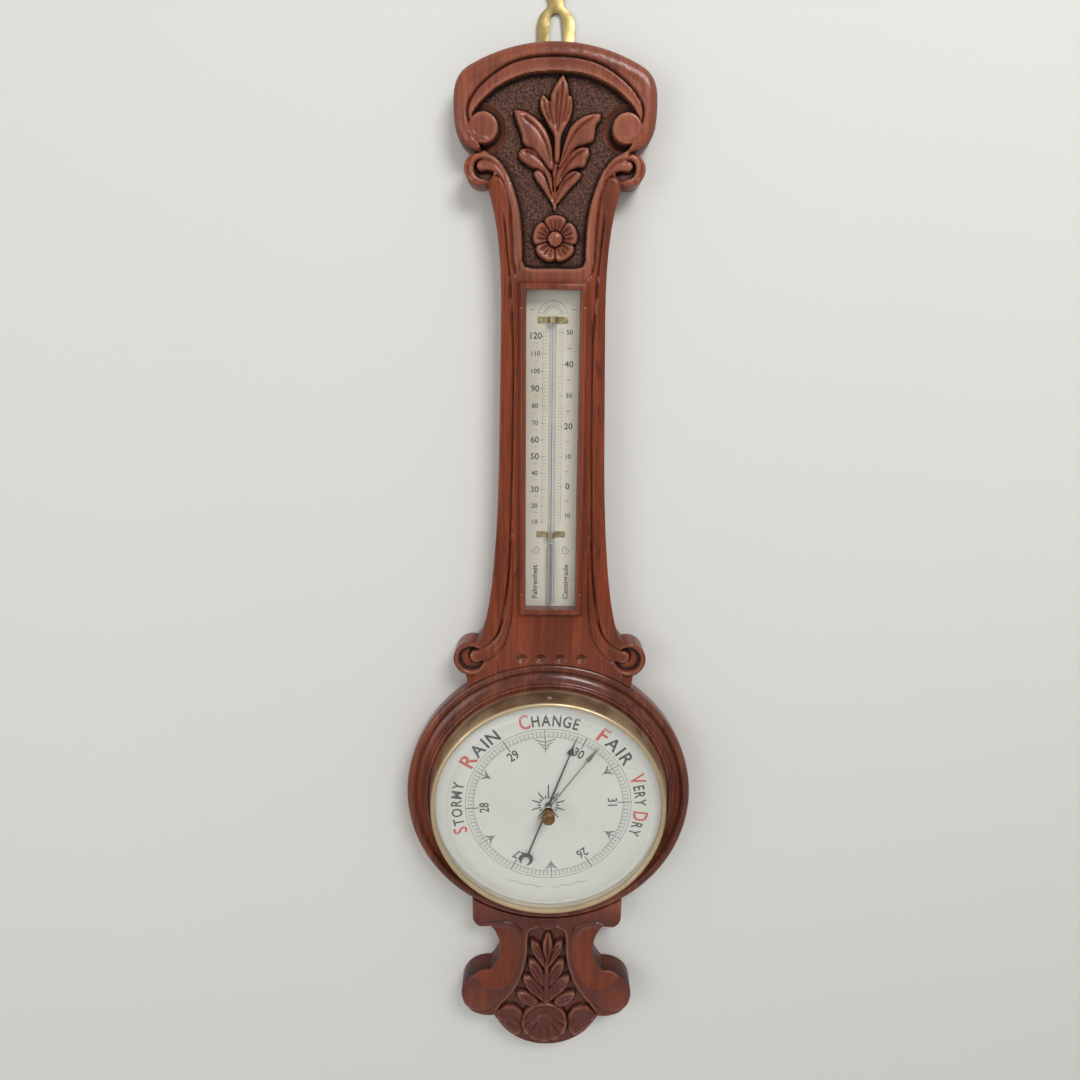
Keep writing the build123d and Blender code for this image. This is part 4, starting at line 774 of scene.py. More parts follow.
FACET = [
    (60, 801.3), (48, 799.6), (37.5, 801.2), (28.4, 808.4), (24.4, 820), (25.2, 836), (29.3, 851),
    (36.3, 865.4), (45, 872.2), (58, 873), (72, 850), (72, 815),
]
APRON_PANEL = [
    (0, 802.6), (9.5, 802.8), (16.2, 806), (18.6, 815), (18.8, 830), (21, 845), (24.5, 858),
    (29.5, 870), (36, 880.5), (44, 890.5), (48.5, 899), (50.5, 906), (54, 914), (58, 962), (0, 962),
]
APRON_FORMS = [
    (
        [
            (22, 905), (27, 896.5), (35, 892.8), (43, 895), (50.6, 903.4), (47, 912), (38.5, 921),
            (30, 928), (24, 924), (21, 914),
        ],
        4.4,
        6.0,
        ([(47.5, 904.5), (38, 903.5), (30, 907.5), (25, 914)], [(45.5, 911), (38, 912), (32, 917)]),
    ),
    (
        [
            (9, 884), (16, 878.6), (22.5, 876.2), (28.6, 876.4), (28.6, 876.4), (28.0, 882.5),
            (24.5, 888.5), (18, 893), (11, 894.5), (8, 890),
        ],
        4.8,
        4.6,
        ([(26.6, 879.0), (20.4, 882), (14.6, 887)], [(25.4, 885.2), (19.6, 888.2), (14.6, 891)]),
    ),
    (
        [
            (1.8, 876.5), (6.0, 867.0), (12.0, 860.2), (17.5, 857.6), (22.8, 857.4), (22.8, 857.4),
            (22.6, 863.6), (20.2, 870.4), (15.5, 877.0), (9.5, 882.4), (2.4, 887.5),
        ],
        5.0,
        4.4,
        (
            [(21.0, 860.4), (14.6, 864.6), (8.6, 871.6), (4.2, 880)],
            [(20.4, 867.4), (14.6, 871.8), (9.4, 877.4)],
        ),
    ),
    (
        [
            (1.4, 861), (3.4, 851.4), (7.2, 844.0), (11.6, 839.6), (17.2, 838.6), (17.2, 838.6),
            (17.6, 845.0), (16.4, 851.6), (12.6, 859.4), (7.4, 866.0), (1.8, 871.5),
        ],
        5.2,
        4.0,
        (
            [(15.6, 841.4), (10.6, 846.4), (6.4, 854), (3.2, 863)],
            [(15.4, 849), (11.0, 855), (7.0, 861.4)],
        ),
    ),
    (
        [
            (1.0, 842.5), (2.8, 834), (5.4, 826.0), (9.0, 820.0), (15.0, 816.8), (15.0, 816.8),
            (15.6, 823.0), (14.6, 829.0), (10.8, 836.4), (6.2, 843.6), (1.8, 849.6),
        ],
        4.6,
        3.8,
        (
            [(13.4, 819.8), (8.8, 825.4), (5.4, 832.6), (2.8, 841)],
            [(13.4, 826.6), (9.6, 832.4), (6.2, 838.4)],
        ),
    ),
]


HEAD_STEM = [(-1.6, 120), (3.8, 119.9), (2.2, 131.6), (1.6, 142), (1.5, 156.2), (-0.9, 156.6), (-1.2, 143.5)]
APRON_BOSS = [(-10.6, 796.2), (0.6, 794.6), (12.0, 796.0), (8.6, 801.4), (1.2, 806.6), (-7.0, 801.6)]
APRON_STEM = [(-1.8, 846), (0.6, 836), (2.6, 846), (3.2, 868), (3.0, 889.5), (-2.6, 889.5), (-2.6, 868)]
APRON_BUD = [(1.2, 806.8), (1.2, 806.8), (4.6, 814), (6.0, 823), (4.2, 834), (1.0, 844), (-2.6, 834),
             (-4.2, 823), (-2.2, 814)]
APRON_BUD_RIB = [(1.2, 810), (1.0, 824), (0.9, 840)]
APRON_VEIN = (1.3, 0.55, 0.3)
LUG_CREASE = [(64, 803.4), (56, 798.6), (46, 796), (36, 797.2), (27.4, 802.4), (22.4, 811)]
ROLL_CREASE = [(80, 893), (72, 897.5), (62, 898.6), (52, 894.6), (44, 886)]


def rounded_edges(drop, edge):
    """The blank's face with the round nose of the crest and eased edges below it."""
    depth = np.full(drop.shape, BOARD_FACE)
    head = drop < HEAD_FOOT
    share = np.clip(edge, 0, NOSE_WIDTH) / NOSE_WIDTH
    nose = NOSE - NOSE * np.sqrt(np.clip(1.0 - (1.0 - share) ** 2, 0, 1))
    nose = nose + 0.7 * ease(9.2, 12.0, edge)
    depth -= np.where(head, nose, 0.0)
    arris = np.where(drop > 700, 2.8, 1.3)
    share = (arris - np.clip(edge, 0, arris)) / arris
    bevel = arris - arris * np.sqrt(np.clip(1.0 - share ** 2, 0, 1))
    depth -= np.where(head, 0.0, bevel)
    return depth, bevel


def carve_crest(x, drop, blank):
    """Inner band, sunk panel with punched ground, and the buttons in their crescents."""
    wide = np.abs(x)
    upper = drop < 206
    above = drop < 104
    gap = np.full(x.shape, -99.0)
    gap[upper] = depth_inside(x[upper], drop[upper], curved(both_sides(HEAD_PANEL), True, 3))
    right = curved(CREST_LINE, False, 4)
    left = curved([(-px, py) for px, py in CREST_LINE], False, 4)
    under = np.full(x.shape, -99.0)
    under[above] = depth_inside(x[above], drop[above], np.vstack([right, left[::-1]]))
    inner_band = ease(-0.3, 0.5, under) * (gap < 0.5) * (wide < 66.5) * (drop < 97.5)
    depth = blank + (24.3 - 0.5 * ease(0, 6, under) - blank) * inner_band
    whole_crest = [(-px, py) for px, py in CREST_LINE[:0:-1]] + CREST_LINE
    cut(depth, x, drop, whole_crest, 0.9, 2.7, False)

    eye_r = np.hypot(wide - BUTTON[0], drop - BUTTON[1])
    punch = 0.45 * np.sin(2.3 * x + 1.9 * np.sin(1.1 * drop)) * np.sin(2.5 * drop + 1.7 * np.sin(1.3 * x))
    floor = PANEL_DEPTH + punch
    crescent = ease(-0.4, 0.3, CRESCENT_RADIUS - eye_r)
    hollow = 15.6 + 3.1 * np.clip((eye_r - BUTTON_RADIUS) / 6.5, 0, 1) ** 1.5
    floor = floor + (hollow - floor) * crescent
    sunk = ease(-0.1, 0.6, gap)
    depth = depth + (floor - depth) * sunk

    button = (1.0 - ease(-0.6, 0.25, eye_r - BUTTON_RADIUS)) * (drop < HEAD_FOOT)
    face = 25.3 - 1.5 * np.clip(eye_r / BUTTON_RADIUS, 0, 1) ** 5
    face = np.minimum(face, blank + 0.3)
    depth = depth + (face - depth) * button
    # painted shade in the crescent hollows round the buttons, joined to the hollow mark
    shade = 0.55 * crescent * (gap > 0) * (button < 0.5)
    return depth, sunk * (1.0 - crescent), gap, shade


def carve_volutes(x, drop, depth, bevel, gap):
    """Bowls, strips, beads and tongues of the volutes, and the line down each rail."""
    bowl_r = np.hypot(np.abs(x) - BOWL[0], drop - BOWL[1])
    bowl = (1.0 - ease(9.6, 10.6, bowl_r)) * (gap < 0)
    depth = depth + (18.4 - depth) * bowl
    strip_top = np.zeros(x.shape)
    fall = 1.0 - ease(202, 210, drop)
    step = ease(205, 212, drop) * (1 - ease(430, 470, drop))
    rail_x = np.interp(drop, [py for _, py in RAIL_LINE], [px for px, _ in RAIL_LINE])
    for side in (1, -1):
        px = x * side
        zone = (drop > 131) & (drop < 214) & (px > 24)
        strip = np.full(x.shape, -9.0)
        strip[zone] = depth_inside(px[zone], drop[zone], curved(STRIP, True, 3))
        rounded = BOARD_FACE - 1.7 * fall * (1.0 - ease(0, 2.2, strip)) - bevel
        local = depth - 2.2 * (1.0 - ease(0.2, 1.5, -strip)) * zone * fall * (strip < 0.3) * (gap < 0)
        depth = local + (rounded - local) * ease(-0.25, 0.3, strip) * (drop < 208)
        strip_top = np.maximum(strip_top, ease(-0.2, 0.4, strip))
        ribbon(depth, px, drop, BEAD, BEAD_WIDTHS, 25.1)
        ribbon(depth, px, drop, TONGUE, TONGUE_WIDTHS, 24.5, 0.8)
        depth -= 0.5 * step * (1.0 - ease(-1.0, 0.2, px - rail_x)) * (px > 20)
        cut(depth, px, drop, RAIL_LINE, 0.75, 1.9)
    return depth, strip_top


def carve_leaves(x, drop, depth, ground):
    """Stem, leaves and rosette of the head."""
    form(depth, ground, x, drop, HEAD_STEM, PANEL_DEPTH, 3.6, 1.8)
    for knots, rise, shoulder, ribs in HEAD_LEAVES:
        form(depth, ground, x, drop, knots, PANEL_DEPTH, rise, shoulder, ribs, 0.9)
    flower(depth, ground, x, drop, ROSETTE, ROSETTE_RADIUS, PANEL_DEPTH)


def carve_neck_foot(x, drop, depth):
    """Scrolls, bands and gouge cuts at the foot of the neck."""
    wide = np.abs(x)
    scroll_r = np.hypot(wide - FOOT_SCROLL[0], drop - FOOT_SCROLL[1])
    well = (1.0 - ease(10.6, 11.6, scroll_r)) * (wide > 55)
    depth = depth + (19.6 - depth) * well
    rim = np.clip((scroll_r - 13.4) / 2.4, -1, 1)
    on_rim = ease(10.8, 11.4, scroll_r) * (scroll_r < 16.5) * ease(60, 66, wide)
    depth = depth + (25.2 - 1.6 * rim ** 2 - depth) * on_rim * (drop > 500) * (drop < 560)
    for side in (1, -1):
        ribbon(depth, x * side, drop, FOOT_BAND, FOOT_WIDTHS, BOARD_FACE, 1.6, 1.5)
        cut(depth, x * side, drop, FOOT_CREASE, 0.9, 1.0)
    for gouge_x in GOUGES:
        scoop = np.clip(1.0 - ((x - gouge_x) / 5.6) ** 2 - ((drop - GOUGE_DROP) / 4.4) ** 2, 0, 1)
        depth -= 3.0 * scoop * ease(-5, 2, 530.0 - drop)
    return depth


def carve_apron(x, drop, depth):
    """Facets, rolls, panel and leaves of the apron. Also gives where its stain is warmer."""
    wide = np.abs(x)
    lower = drop > APRON_TOP
    facet = np.full(x.shape, -9.0)
    panel = np.full(x.shape, -9.0)
    facet[lower] = depth_inside(wide[lower], drop[lower], curved(FACET, True, 3))
    panel[lower] = depth_inside(x[lower], drop[lower], curved(both_sides(APRON_PANEL), True, 3))
    roll_r = np.hypot(wide - ROLL[0], drop - ROLL[1])
    shallow = ease(-0.4, 0.6, facet) * (0.8 + 1.6 * ease(0, 6, facet))
    depth -= np.where(lower, shallow, 0)
    crest_bead = np.exp(-((panel + 1.7) / 1.5) ** 2)
    depth += np.where(lower, 0.7 * crest_bead, 0)
    sunk = ease(-0.1, 0.8, panel)
    depth = depth + (APRON_DEPTH - depth) * np.where(lower, sunk, 0)
    swell = np.hypot((wide - 66.0) / 1.25, drop - 888.5)
    depth += np.where(lower, 2.0 * (1.0 - ease(3, 15.5, swell)), 0)

    no_ground = np.zeros(x.shape)
    form(depth, no_ground, x, drop, APRON_BOSS, 21.6, 3.3, 5.0, (), 0.8)
    for side in (1, -1):
        px = x * side
        cut(depth, px, drop, LUG_CREASE, 0.9, 1.7)
        cut(depth, px, drop, ROLL_CREASE, 1.2, 1.1)
        for knots, rise, shoulder, ribs in APRON_FORMS:
            tip = ribs[0][0]
            form(depth, no_ground, px, drop, knots, APRON_DEPTH, rise, shoulder, ribs, 0.8, APRON_VEIN, tip)
    form(depth, no_ground, x, drop, APRON_STEM, APRON_DEPTH, 4.6, 2.2)
    form(depth, no_ground, x, drop, APRON_BUD, APRON_DEPTH, 5.0, 3.0, (APRON_BUD_RIB,), 0.8)
    warm = np.maximum(ease(-1.2, 2.2, facet), 0.6 * (1.0 - ease(8, 22, roll_r)))
    return depth, np.where(lower, warm, 0)


def carve_shell(x, drop, depth):
    """The shell at the foot of the apron, with curls above and flutes below."""
    shell_x, shell_y = x - SHELL[0], drop - SHELL[1]
    r = np.hypot(shell_x, shell_y)
    turn = np.arctan2(shell_x, shell_y + 7.0)
    flutes = 2.0 * np.abs(np.cos(turn * 7.5)) * ease(-3, 4, shell_y + 3) * ease(6.5, 9.5, r)
    plate = APRON_DEPTH + 1.7 + flutes + 1.1 * ease(10, 20, r) * ease(-6, 8, shell_y)
    plate = plate + 2.4 * np.exp(-((r - 21.0) / 1.5) ** 2) * (1 - ease(4, 14, shell_y))
    plate = plate + 1.9 * np.exp(-((r - 7.6) / 1.5) ** 2) * ease(-1, 4, -shell_y + 1)
    plate = plate + 1.3 * np.exp(-((r - 14.2) / 1.6) ** 2) * ease(-1, 4, -shell_y - 1)
    seal = 1.0 - ease(22.5, 23.3, r)
    moat = 1.0 * (1.0 - ease(23.4, 24.8, r)) * (r > 20) * (drop < 930)
    return np.where(r < 26, depth - moat + (plate - depth + moat) * seal, depth)


def carve(x, drop, edge):
    """Depth of the board's front at each point, and its marks. edge is the distance from the outline."""
    seat = np.hypot(x, drop - DIAL_DROP) < SEAT_RADIUS
    recess = (np.abs(x) < RECESS_HALF[0]) & (np.abs(drop - RECESS_DROP) < RECESS_HALF[1])
    blank, bevel = rounded_edges(drop, edge)
    depth, ground, gap, shade = carve_crest(x, drop, blank)
    depth, strip_top = carve_volutes(x, drop, depth, bevel, gap)
    carve_leaves(x, drop, depth, ground)
    depth = carve_neck_foot(x, drop, depth)
    depth, warm = carve_apron(x, drop, depth)
    depth = carve_shell(x, drop, depth)
    # the tool's slight waviness
    across, along = 0.55 * x + 0.8 * np.sin(0.21 * drop), 0.37 * drop + 1.1 * np.sin(0.3 * x)
    depth += 0.09 * np.sin(across) * np.sin(along)
    depth = np.where(seat, SEAT_DEPTH, depth)
    depth = np.where(recess, RECESS_DEPTH, depth)

    rail = ease(206, 214, drop) * (1 - 0.4 * ease(470, 520, drop)) * (1 - ease(560, 600, drop))
    rail = np.maximum(rail, 0.9 * strip_top * (drop < 215))
    rail = np.maximum(rail, 0.95 * warm)
    marks = {"ground": ground * (~seat), "rail": rail, "apron": ease(770, 800, drop) * (1 - 0.9 * warm)}
    # hollow is painted shade in the recesses, worn is wear with painted highlight on the raised relief
    marks["hollow"], marks["worn"] = shading(x, drop, depth, ~seat & ~recess)
    marks["hollow"] = np.maximum(marks["hollow"], shade)
    return depth, marks


def shading(x, drop, depth, used):
    """Painted shade in the hollows, and wear with painted highlight on raised edges, from each point's
    height above its surroundings.
    """
    pitch, taps = 0.8, 8
    across = ((x + 140.0) / pitch).astype(int)
    down = ((drop - 30.0) / pitch).astype(int)
    total = np.zeros((1160, 352))
    count = np.zeros((1160, 352))
    np.add.at(total, (down[used], across[used]), depth[used])
    np.add.at(count, (down[used], across[used]), 1.0)
    weights = np.exp(-(np.arange(-taps, taps + 1) / 3.0) ** 2 / 2)
    for axis in (0, 1):
        total = sum(w * np.roll(total, s - taps, axis) for s, w in enumerate(weights))
        count = sum(w * np.roll(count, s - taps, axis) for s, w in enumerate(weights))
    relief = depth - (total / np.maximum(count, 1e-6))[down, across]
    return ease(0.2, 1.9, -relief) * 0.95 * used, ease(0.3, 1.7, relief) * used


def divided(a, b, pitch):
    """Points from a towards b, about pitch apart, without b itself."""
    parts = max(1, round(math.hypot(b[0] - a[0], b[1] - a[1]) / pitch))
    return [(a[0] + (b[0] - a[0]) * i / parts, a[1] + (b[1] - a[1]) * i / parts) for i in range(parts)]


def sawn_outline():
    """Outer outline of the board in millimetres, from a cut through a copy of its node."""
    copy = new_object("sawn_outline", frame["nodes"]["case_board"].data.copy())
    plane = {"plane_co": (0, -0.0045, 0), "plane_no": (0, 1, 0), "clear_inner": True, "clear_outer": True}
    edit_all(copy, (bpy.ops.mesh.remove_doubles, {"threshold": MERGE}), (bpy.ops.mesh.bisect, plane))
    points = [(v.co.x / MM, -v.co.z / MM) for v in copy.data.vertices]
    links = {}
    for edge in copy.data.edges:
        a, b = edge.vertices
        links.setdefault(a, []).append(b)
        links.setdefault(b, []).append(a)
    bpy.data.objects.remove(copy)
    start = min(links, key=lambda i: points[i][1])
    loop = [start]
    previous, current = None, start
    while True:
        following = [i for i in links[current] if i != previous]
        if not following or following[0] == start:
            break
        previous, current = current, following[0]
        loop.append(current)
    corner = [points[i] for i in loop]
    outline = []
    for index, a in enumerate(corner):
        outline += divided(a, corner[(index + 1) % len(corner)], 1.1)
    crossed = []
    for index, a in enumerate(outline):
        b = outline[(index + 1) % len(outline)]
        crossed.append(a)
        if a[1] < 80:
            cuts = []
            for side in (-PLATE_HALF - 0.02, -PLATE_HALF, PLATE_HALF, PLATE_HALF + 0.02):
                if (a[0] - side) * (b[0] - side) < 0:
                    cuts.append((side - a[0]) / (b[0] - a[0]))
            crossed += [(a[0] + (b[0] - a[0]) * t, a[1] + (b[1] - a[1]) * t) for t in sorted(cuts)]
    return crossed


def offset_rows(outline, distances, low, high):
    """Points in rows that follow the outline inside it."""
    line = np.array(outline)
    ahead, behind = np.roll(line, -1, axis=0), np.roll(line, 1, axis=0)
    area = (line[:, 0] * ahead[:, 1] - ahead[:, 0] * line[:, 1]).sum()
    tangent = ahead - behind
    tangent /= np.hypot(tangent[:, 0], tangent[:, 1])[:, None] + 1e-9
    normal = np.column_stack([-tangent[:, 1], tangent[:, 0]]) * (1 if area > 0 else -1)
    rows = []
    for distance in distances:
        points = line + normal * distance
        points = points[(points[:, 1] > low) & (points[:, 1] < high)]
        clear = outline_distance(points[:, 0], points[:, 1], outline) > distance * 0.93 - 0.02
        rows.append(points[clear])
    return np.vstack(rows)


def outline_distance(x, drop, outline):
    """Distance of each point to a closed outline."""
    line = np.array(outline)
    following = np.roll(line, -1, axis=0)
    best = np.full(x.shape, 1e9)
    for a, b in zip(line, following):
        d = b - a
        length = d @ d + 1e-12
        t = np.clip(((x - a[0]) * d[0] + (drop - a[1]) * d[1]) / length, 0, 1)
        best = np.minimum(best, (x - a[0] - t * d[0]) ** 2 + (drop - a[1] - t * d[1]) ** 2)
    return np.sqrt(best)


def inside_outline(x, drop, outline):
    """Which points lie inside a closed outline."""
    line = np.array(outline)
    following = np.roll(line, -1, axis=0)
    inside = np.zeros(x.shape, bool)
    for a, b in zip(line, following):
        if a[1] == b[1]:
            continue
        crosses = (a[1] > drop) != (b[1] > drop)
        inside ^= crosses & (x < (b[0] - a[0]) * (drop - a[1]) / (b[1] - a[1]) + a[0])
    return inside


def staggered(left, right, top, bottom, pitch):
    """Points in staggered rows, symmetric about the centreline."""
    rows = np.arange(top, bottom, pitch * 0.866)
    found = []
    for index, row in enumerate(rows):
        shift = pitch / 2 if index % 2 else 0.0
        columns = np.arange(left + shift, right, pitch)
        found.append(np.column_stack([columns, np.full(columns.shape, row)]))
    return np.vstack(found)


def circle_points(centre, radius, count):
    """Points of a circle as (x, drop) pairs."""
    turns = [math.tau * i / count for i in range(count)]
    return [(centre[0] + radius * math.cos(turn), centre[1] + radius * math.sin(turn)) for turn in turns]


def rectangle_points(half_width, top, bottom, pitch):
    """Points round a rectangle on the centreline."""
    corner = [(-half_width, top), (half_width, top), (half_width, bottom), (-half_width, bottom)]
    points = []
    for index, a in enumerate(corner):
        points += divided(a, corner[(index + 1) % 4], pitch)
    return points


def triangulate(loops, loose):
    """Triangles over closed loops and loose points, as points and index triples."""
    points, edges = [], []
    for loop in loops:
        base = len(points)
        points += loop
        edges += [(base + i, base + (i + 1) % len(loop)) for i in range(len(loop))]
    points += [tuple(p) for p in loose]
    found = geometry.delaunay_2d_cdt([Vector(p) for p in points], edges, [], 0, 0.00001)
    return np.array([tuple(v) for v in found[0]]), np.array([tuple(f) for f in found[2]])


def screw_pockets():
    """Centre and radius of each pocket in the back for the surround's screws."""
    radius, ring, _ = SCREW_POCKET
    return [
        (ring * math.sin(math.radians(a)), DIAL_DROP - ring * math.cos(math.radians(a)), radius)
        for a in (45, 135, 225, 315)
    ]


def back_depth(x, drop):
    """Depth of the board's back: the seat of the hanging plate and the screw pockets."""
    depth = np.where((np.abs(x) < PLATE_HALF + 0.005) & (drop < PLATE_FOOT + 0.005), PLATE_DEPTH, 0.0)
    for px, py, radius in screw_pockets():
        depth = np.where(np.hypot(x - px, drop - py) < radius, SCREW_POCKET[2], depth)
    return depth


def kept_faces(points, faces, outline):
    """The faces on the board and outside its round hole."""
    centre = points[faces].mean(1)
    good = inside_outline(centre[:, 0], centre[:, 1], outline)
    good &= np.hypot(centre[:, 0], centre[:, 1] - DIAL_DROP) > HOLE_RADIUS - 0.02
    return faces[good]


def turned_alike(points, faces, sign):
    """The faces, turned over where their turn in (x, drop) has this sign."""
    a, b, c = (points[faces[:, i]] for i in range(3))
    turn = (b[:, 0] - a[:, 0]) * (c[:, 1] - a[:, 1]) - (b[:, 1] - a[:, 1]) * (c[:, 0] - a[:, 0])
    return np.where((turn * sign > 0)[:, None], faces[:, ::-1], faces)


def carved_board():
    """The whole carved board: front, edge and back as one closed skin."""
    outline = sawn_outline()
    step = 0.02
    plate = [rectangle_points(PLATE_HALF + grow, 30.0, PLATE_FOOT + grow, 12.0) for grow in (0.0, step)]
    hole = circle_points((0, DIAL_DROP), HOLE_RADIUS, 160)
    recess = [
        rectangle_points(RECESS_HALF[0] + grow, RECESS_DROP - RECESS_HALF[1] - grow,
                         RECESS_DROP + RECESS_HALF[1] + grow, 3.0)
        for grow in (-step, step)
    ]
    seat = [circle_points((0, DIAL_DROP), SEAT_RADIUS + grow, 300) for grow in (-step, step)]
    zones = [
        staggered(-79, 79, 39, 206, 0.80),
        staggered(-62, 62, 206, 432, 2.4),
        staggered(-88, 88, 432, 560, 1.05),
        staggered(-130, 130, 560, 785, 9.0),
        staggered(-90, 90, 785, 943, 0.95),
    ]
    loose = np.vstack(zones)
    edge = outline_distance(loose[:, 0], loose[:, 1], outline)
    keep = inside_outline(loose[:, 0], loose[:, 1], outline)
    neck = (loose[:, 1] > 206) & (loose[:, 1] < 432)
    keep &= edge > np.where(neck, 15.0, 3.4)
    rows = [
        offset_rows(outline, (0.4, 0.9, 1.5, 2.2, 3.0), 30, 950),
        offset_rows(
            outline, (4.2, 5.8, 7.6, 8.9, 9.4, 9.8, 10.2, 10.6, 11.0, 11.4, 11.9, 12.6, 14.0), 206, 432),
    ]
    loose = np.vstack([loose[keep]] + rows)
    keep = inside_outline(loose[:, 0], loose[:, 1], outline)
    wide = np.abs(loose[:, 0])
    from_dial = np.hypot(loose[:, 0], loose[:, 1] - DIAL_DROP)
    keep &= ~((from_dial < SEAT_RADIUS + 0.4) & (from_dial > SEAT_RADIUS - 3))
    keep &= from_dial > HOLE_RADIUS + 1
    keep &= ~((from_dial < SEAT_RADIUS) & (from_dial > 124))
    keep &= ~((from_dial < SEAT_RADIUS) & ((loose[:, 1] < 560) | (loose[:, 1] > 785)))
    keep &= ~((wide < RECESS_HALF[0] + 0.5) & (np.abs(loose[:, 1] - RECESS_DROP) < RECESS_HALF[1] + 0.5))
    flat, faces = triangulate([outline, hole] + recess + seat, loose[keep])
    faces = kept_faces(flat, faces, outline)
    x, drop = flat[:, 0], flat[:, 1]
    edge = outline_distance(x, drop, outline)
    depth, marks = carve(x, drop, edge)

    # seen from the front with the drop downwards, the front faces turn clockwise in (x, drop)
    faces = turned_alike(flat, faces, 1)
    pairs = {}
    for face in faces.tolist():
        for i in range(3):
            pairs[(face[i], face[(i + 1) % 3])] = True
    border = [(p, q) for p, q in pairs if (q, p) not in pairs]

    rim = sorted({p for pair in border for p in pair})
    index_of = {p: i for i, p in enumerate(rim)}
    pockets = []
    for px, py, radius in screw_pockets():
        pockets += [circle_points((px, py), radius + grow, 28) for grow in (-step, step)]
    points = [tuple(flat[p]) for p in rim]
    edges = [(index_of[p], index_of[q]) for p, q in border]
    for loop in pockets + plate:
        base = len(points)
        points += loop
        edges += [(base + i, base + (i + 1) % len(loop)) for i in range(len(loop))]
    found = geometry.delaunay_2d_cdt([Vector(p) for p in points], edges, [], 0, 0.00001)
    back = np.array([tuple(v) for v in found[0]])
    back_faces = kept_faces(back, np.array([tuple(f) for f in found[2]]), outline)
    back_faces = turned_alike(back, back_faces, -1)
    behind = back_depth(back[:, 0], back[:, 1])

    front_points = np.column_stack([x, -depth, -drop]) * MM
    back_points = np.column_stack([back[:, 0], -behind, -back[:, 1]]) * MM
    place = {(round(px, 3), round(py, 3)): i + len(x) for i, (px, py) in enumerate(back.tolist())}
    walls = []
    for p, q in border:
        first = place.get((round(x[p], 3), round(drop[p], 3)))
        second = place.get((round(x[q], 3), round(drop[q], 3)))
        if first is not None and second is not None:
            walls.append((q, p, first, second))
    skin = faces.tolist() + (back_faces + len(x)).tolist() + walls
    piece = mesh_piece("carved_case_board", np.vstack([front_points, back_points]).tolist(), skin)

    mesh = piece.data
    for label, values in marks.items():
        attribute = mesh.attributes.new(label, "FLOAT", "POINT")
        tail = ease(770, 800, back[:, 1]) if label == "apron" else np.zeros(len(back_points))
        attribute.data.foreach_set("value", np.concatenate([values, tail]).astype(np.float32))
    edit_all(piece, (bpy.ops.mesh.delete_loose, {}))
    smooth_by_angle(piece, 42)
    return piece


# Print
def lettering(text, size, x, drop, depth, turn=0.0, narrow=1.0):
    """Flat raised lettering, centred at a place and turned clockwise in degrees."""
    curve = bpy.data.curves.new("lettering", "FONT")
    curve.body = text
    curve.size = size * MM
    curve.offset = size * MM * 0.018
    curve.extrude = PRINT_THICKNESS * MM / 2
    curve.resolution_u = 3
    curve.align_x = "CENTER"
    curve.align_y = "CENTER"
    pick(new_object("lettering", curve))
    bpy.ops.object.convert(target="MESH")
    piece = bpy.context.view_layer.objects.active
    lay = Matrix.Translation(spot(x, drop, depth + PRINT_THICKNESS / 2))
    lay = lay @ Matrix.Rotation(math.radians(turn), 4, "Y") @ Matrix.Rotation(math.radians(90), 4, "X")
    piece.data.transform(lay @ Matrix.Diagonal((narrow, 1, 1, 1)))
    piece.matrix_world = Matrix.Identity(4)
    return piece


def letter_width(letter, size):
    """Width of one letter at a size."""
    curve = bpy.data.curves.new("measure", "FONT")
    curve.body = letter
    curve.size = size
    holder = new_object("measure", curve)
    bpy.context.view_layer.update()
    width = holder.dimensions.x
    bpy.data.objects.remove(holder)
    return width


def joined(name, parts):
    """One piece from many."""
    pick(parts[0])
    for part in parts[1:]:
        part.select_set(True)
    if len(parts) > 1:
        bpy.ops.object.join()
    piece = bpy.context.view_layer.objects.active
    piece.name = name
    piece.data.name = name
    return piece


def on_dial(radius, clockwise):
    """The (x, drop) place at a radius and a turn from the top of the dial."""
    angle = math.radians(clockwise)
    return radius * math.sin(angle), DIAL_DROP - radius * math.cos(angle)


def bar_faces(points, faces, a, b, width, depth):
    """Adds a flat printed line between two (x, drop) places."""
    length = math.hypot(b[0] - a[0], b[1] - a[1])
    nx, ny = (b[1] - a[1]) / length * width / 2, -(b[0] - a[0]) / length * width / 2
    base = len(points)
    corners = [(end[0] + side * nx, end[1] + side * ny) for end, side in ((a, 1), (b, 1), (b, -1), (a, -1))]
    for level in (depth, depth + PRINT_THICKNESS):
        points += [spot(px, py, level) for px, py in corners]
    for quad in ((3, 2, 1, 0), (4, 5, 6, 7), (0, 1, 5, 4), (1, 2, 6, 5), (2, 3, 7, 6), (3, 0, 4, 7)):
        faces.append(tuple(base + i for i in quad))


def printed_lines(name, lines, depth):
    """One piece from many printed lines, each (a, b, width)."""
    points, faces = [], []
    for a, b, width in lines:
        bar_faces(points, faces, a, b, width, depth)
    piece = mesh_piece(name, points, faces)
    edit_all(piece, (bpy.ops.mesh.normals_make_consistent, {"inside": False}))
    return piece


def word_on_arc(word, first, last, size, initial_size, pieces, red):
    """Letters spread between two angles of the dial, with tall red initials."""
    sizes = [initial_size if i in red else size for i in range(len(word))]
    widths = [0.40 * size if letter == " " else letter_width(letter, s) + 0.20 * size
              for letter, s in zip(word, sizes)]
    span = math.radians(last - first) * WORD_RADIUS
    narrow = span / sum(widths)
    run = 0.0
    for index, letter in enumerate(word):
        place = (run + widths[index] / 2) * narrow
        run += widths[index]
        if letter == " ":
            continue
        turn = first + math.degrees(place / WORD_RADIUS)
        x, drop = on_dial(WORD_RADIUS + (0.7 if index in red else 0.0), turn)
        colour = "red_ink" if index in red else "black_ink"
        pieces[colour].append(lettering(letter, sizes[index], x, drop, DIAL_FACE, turn, narrow))


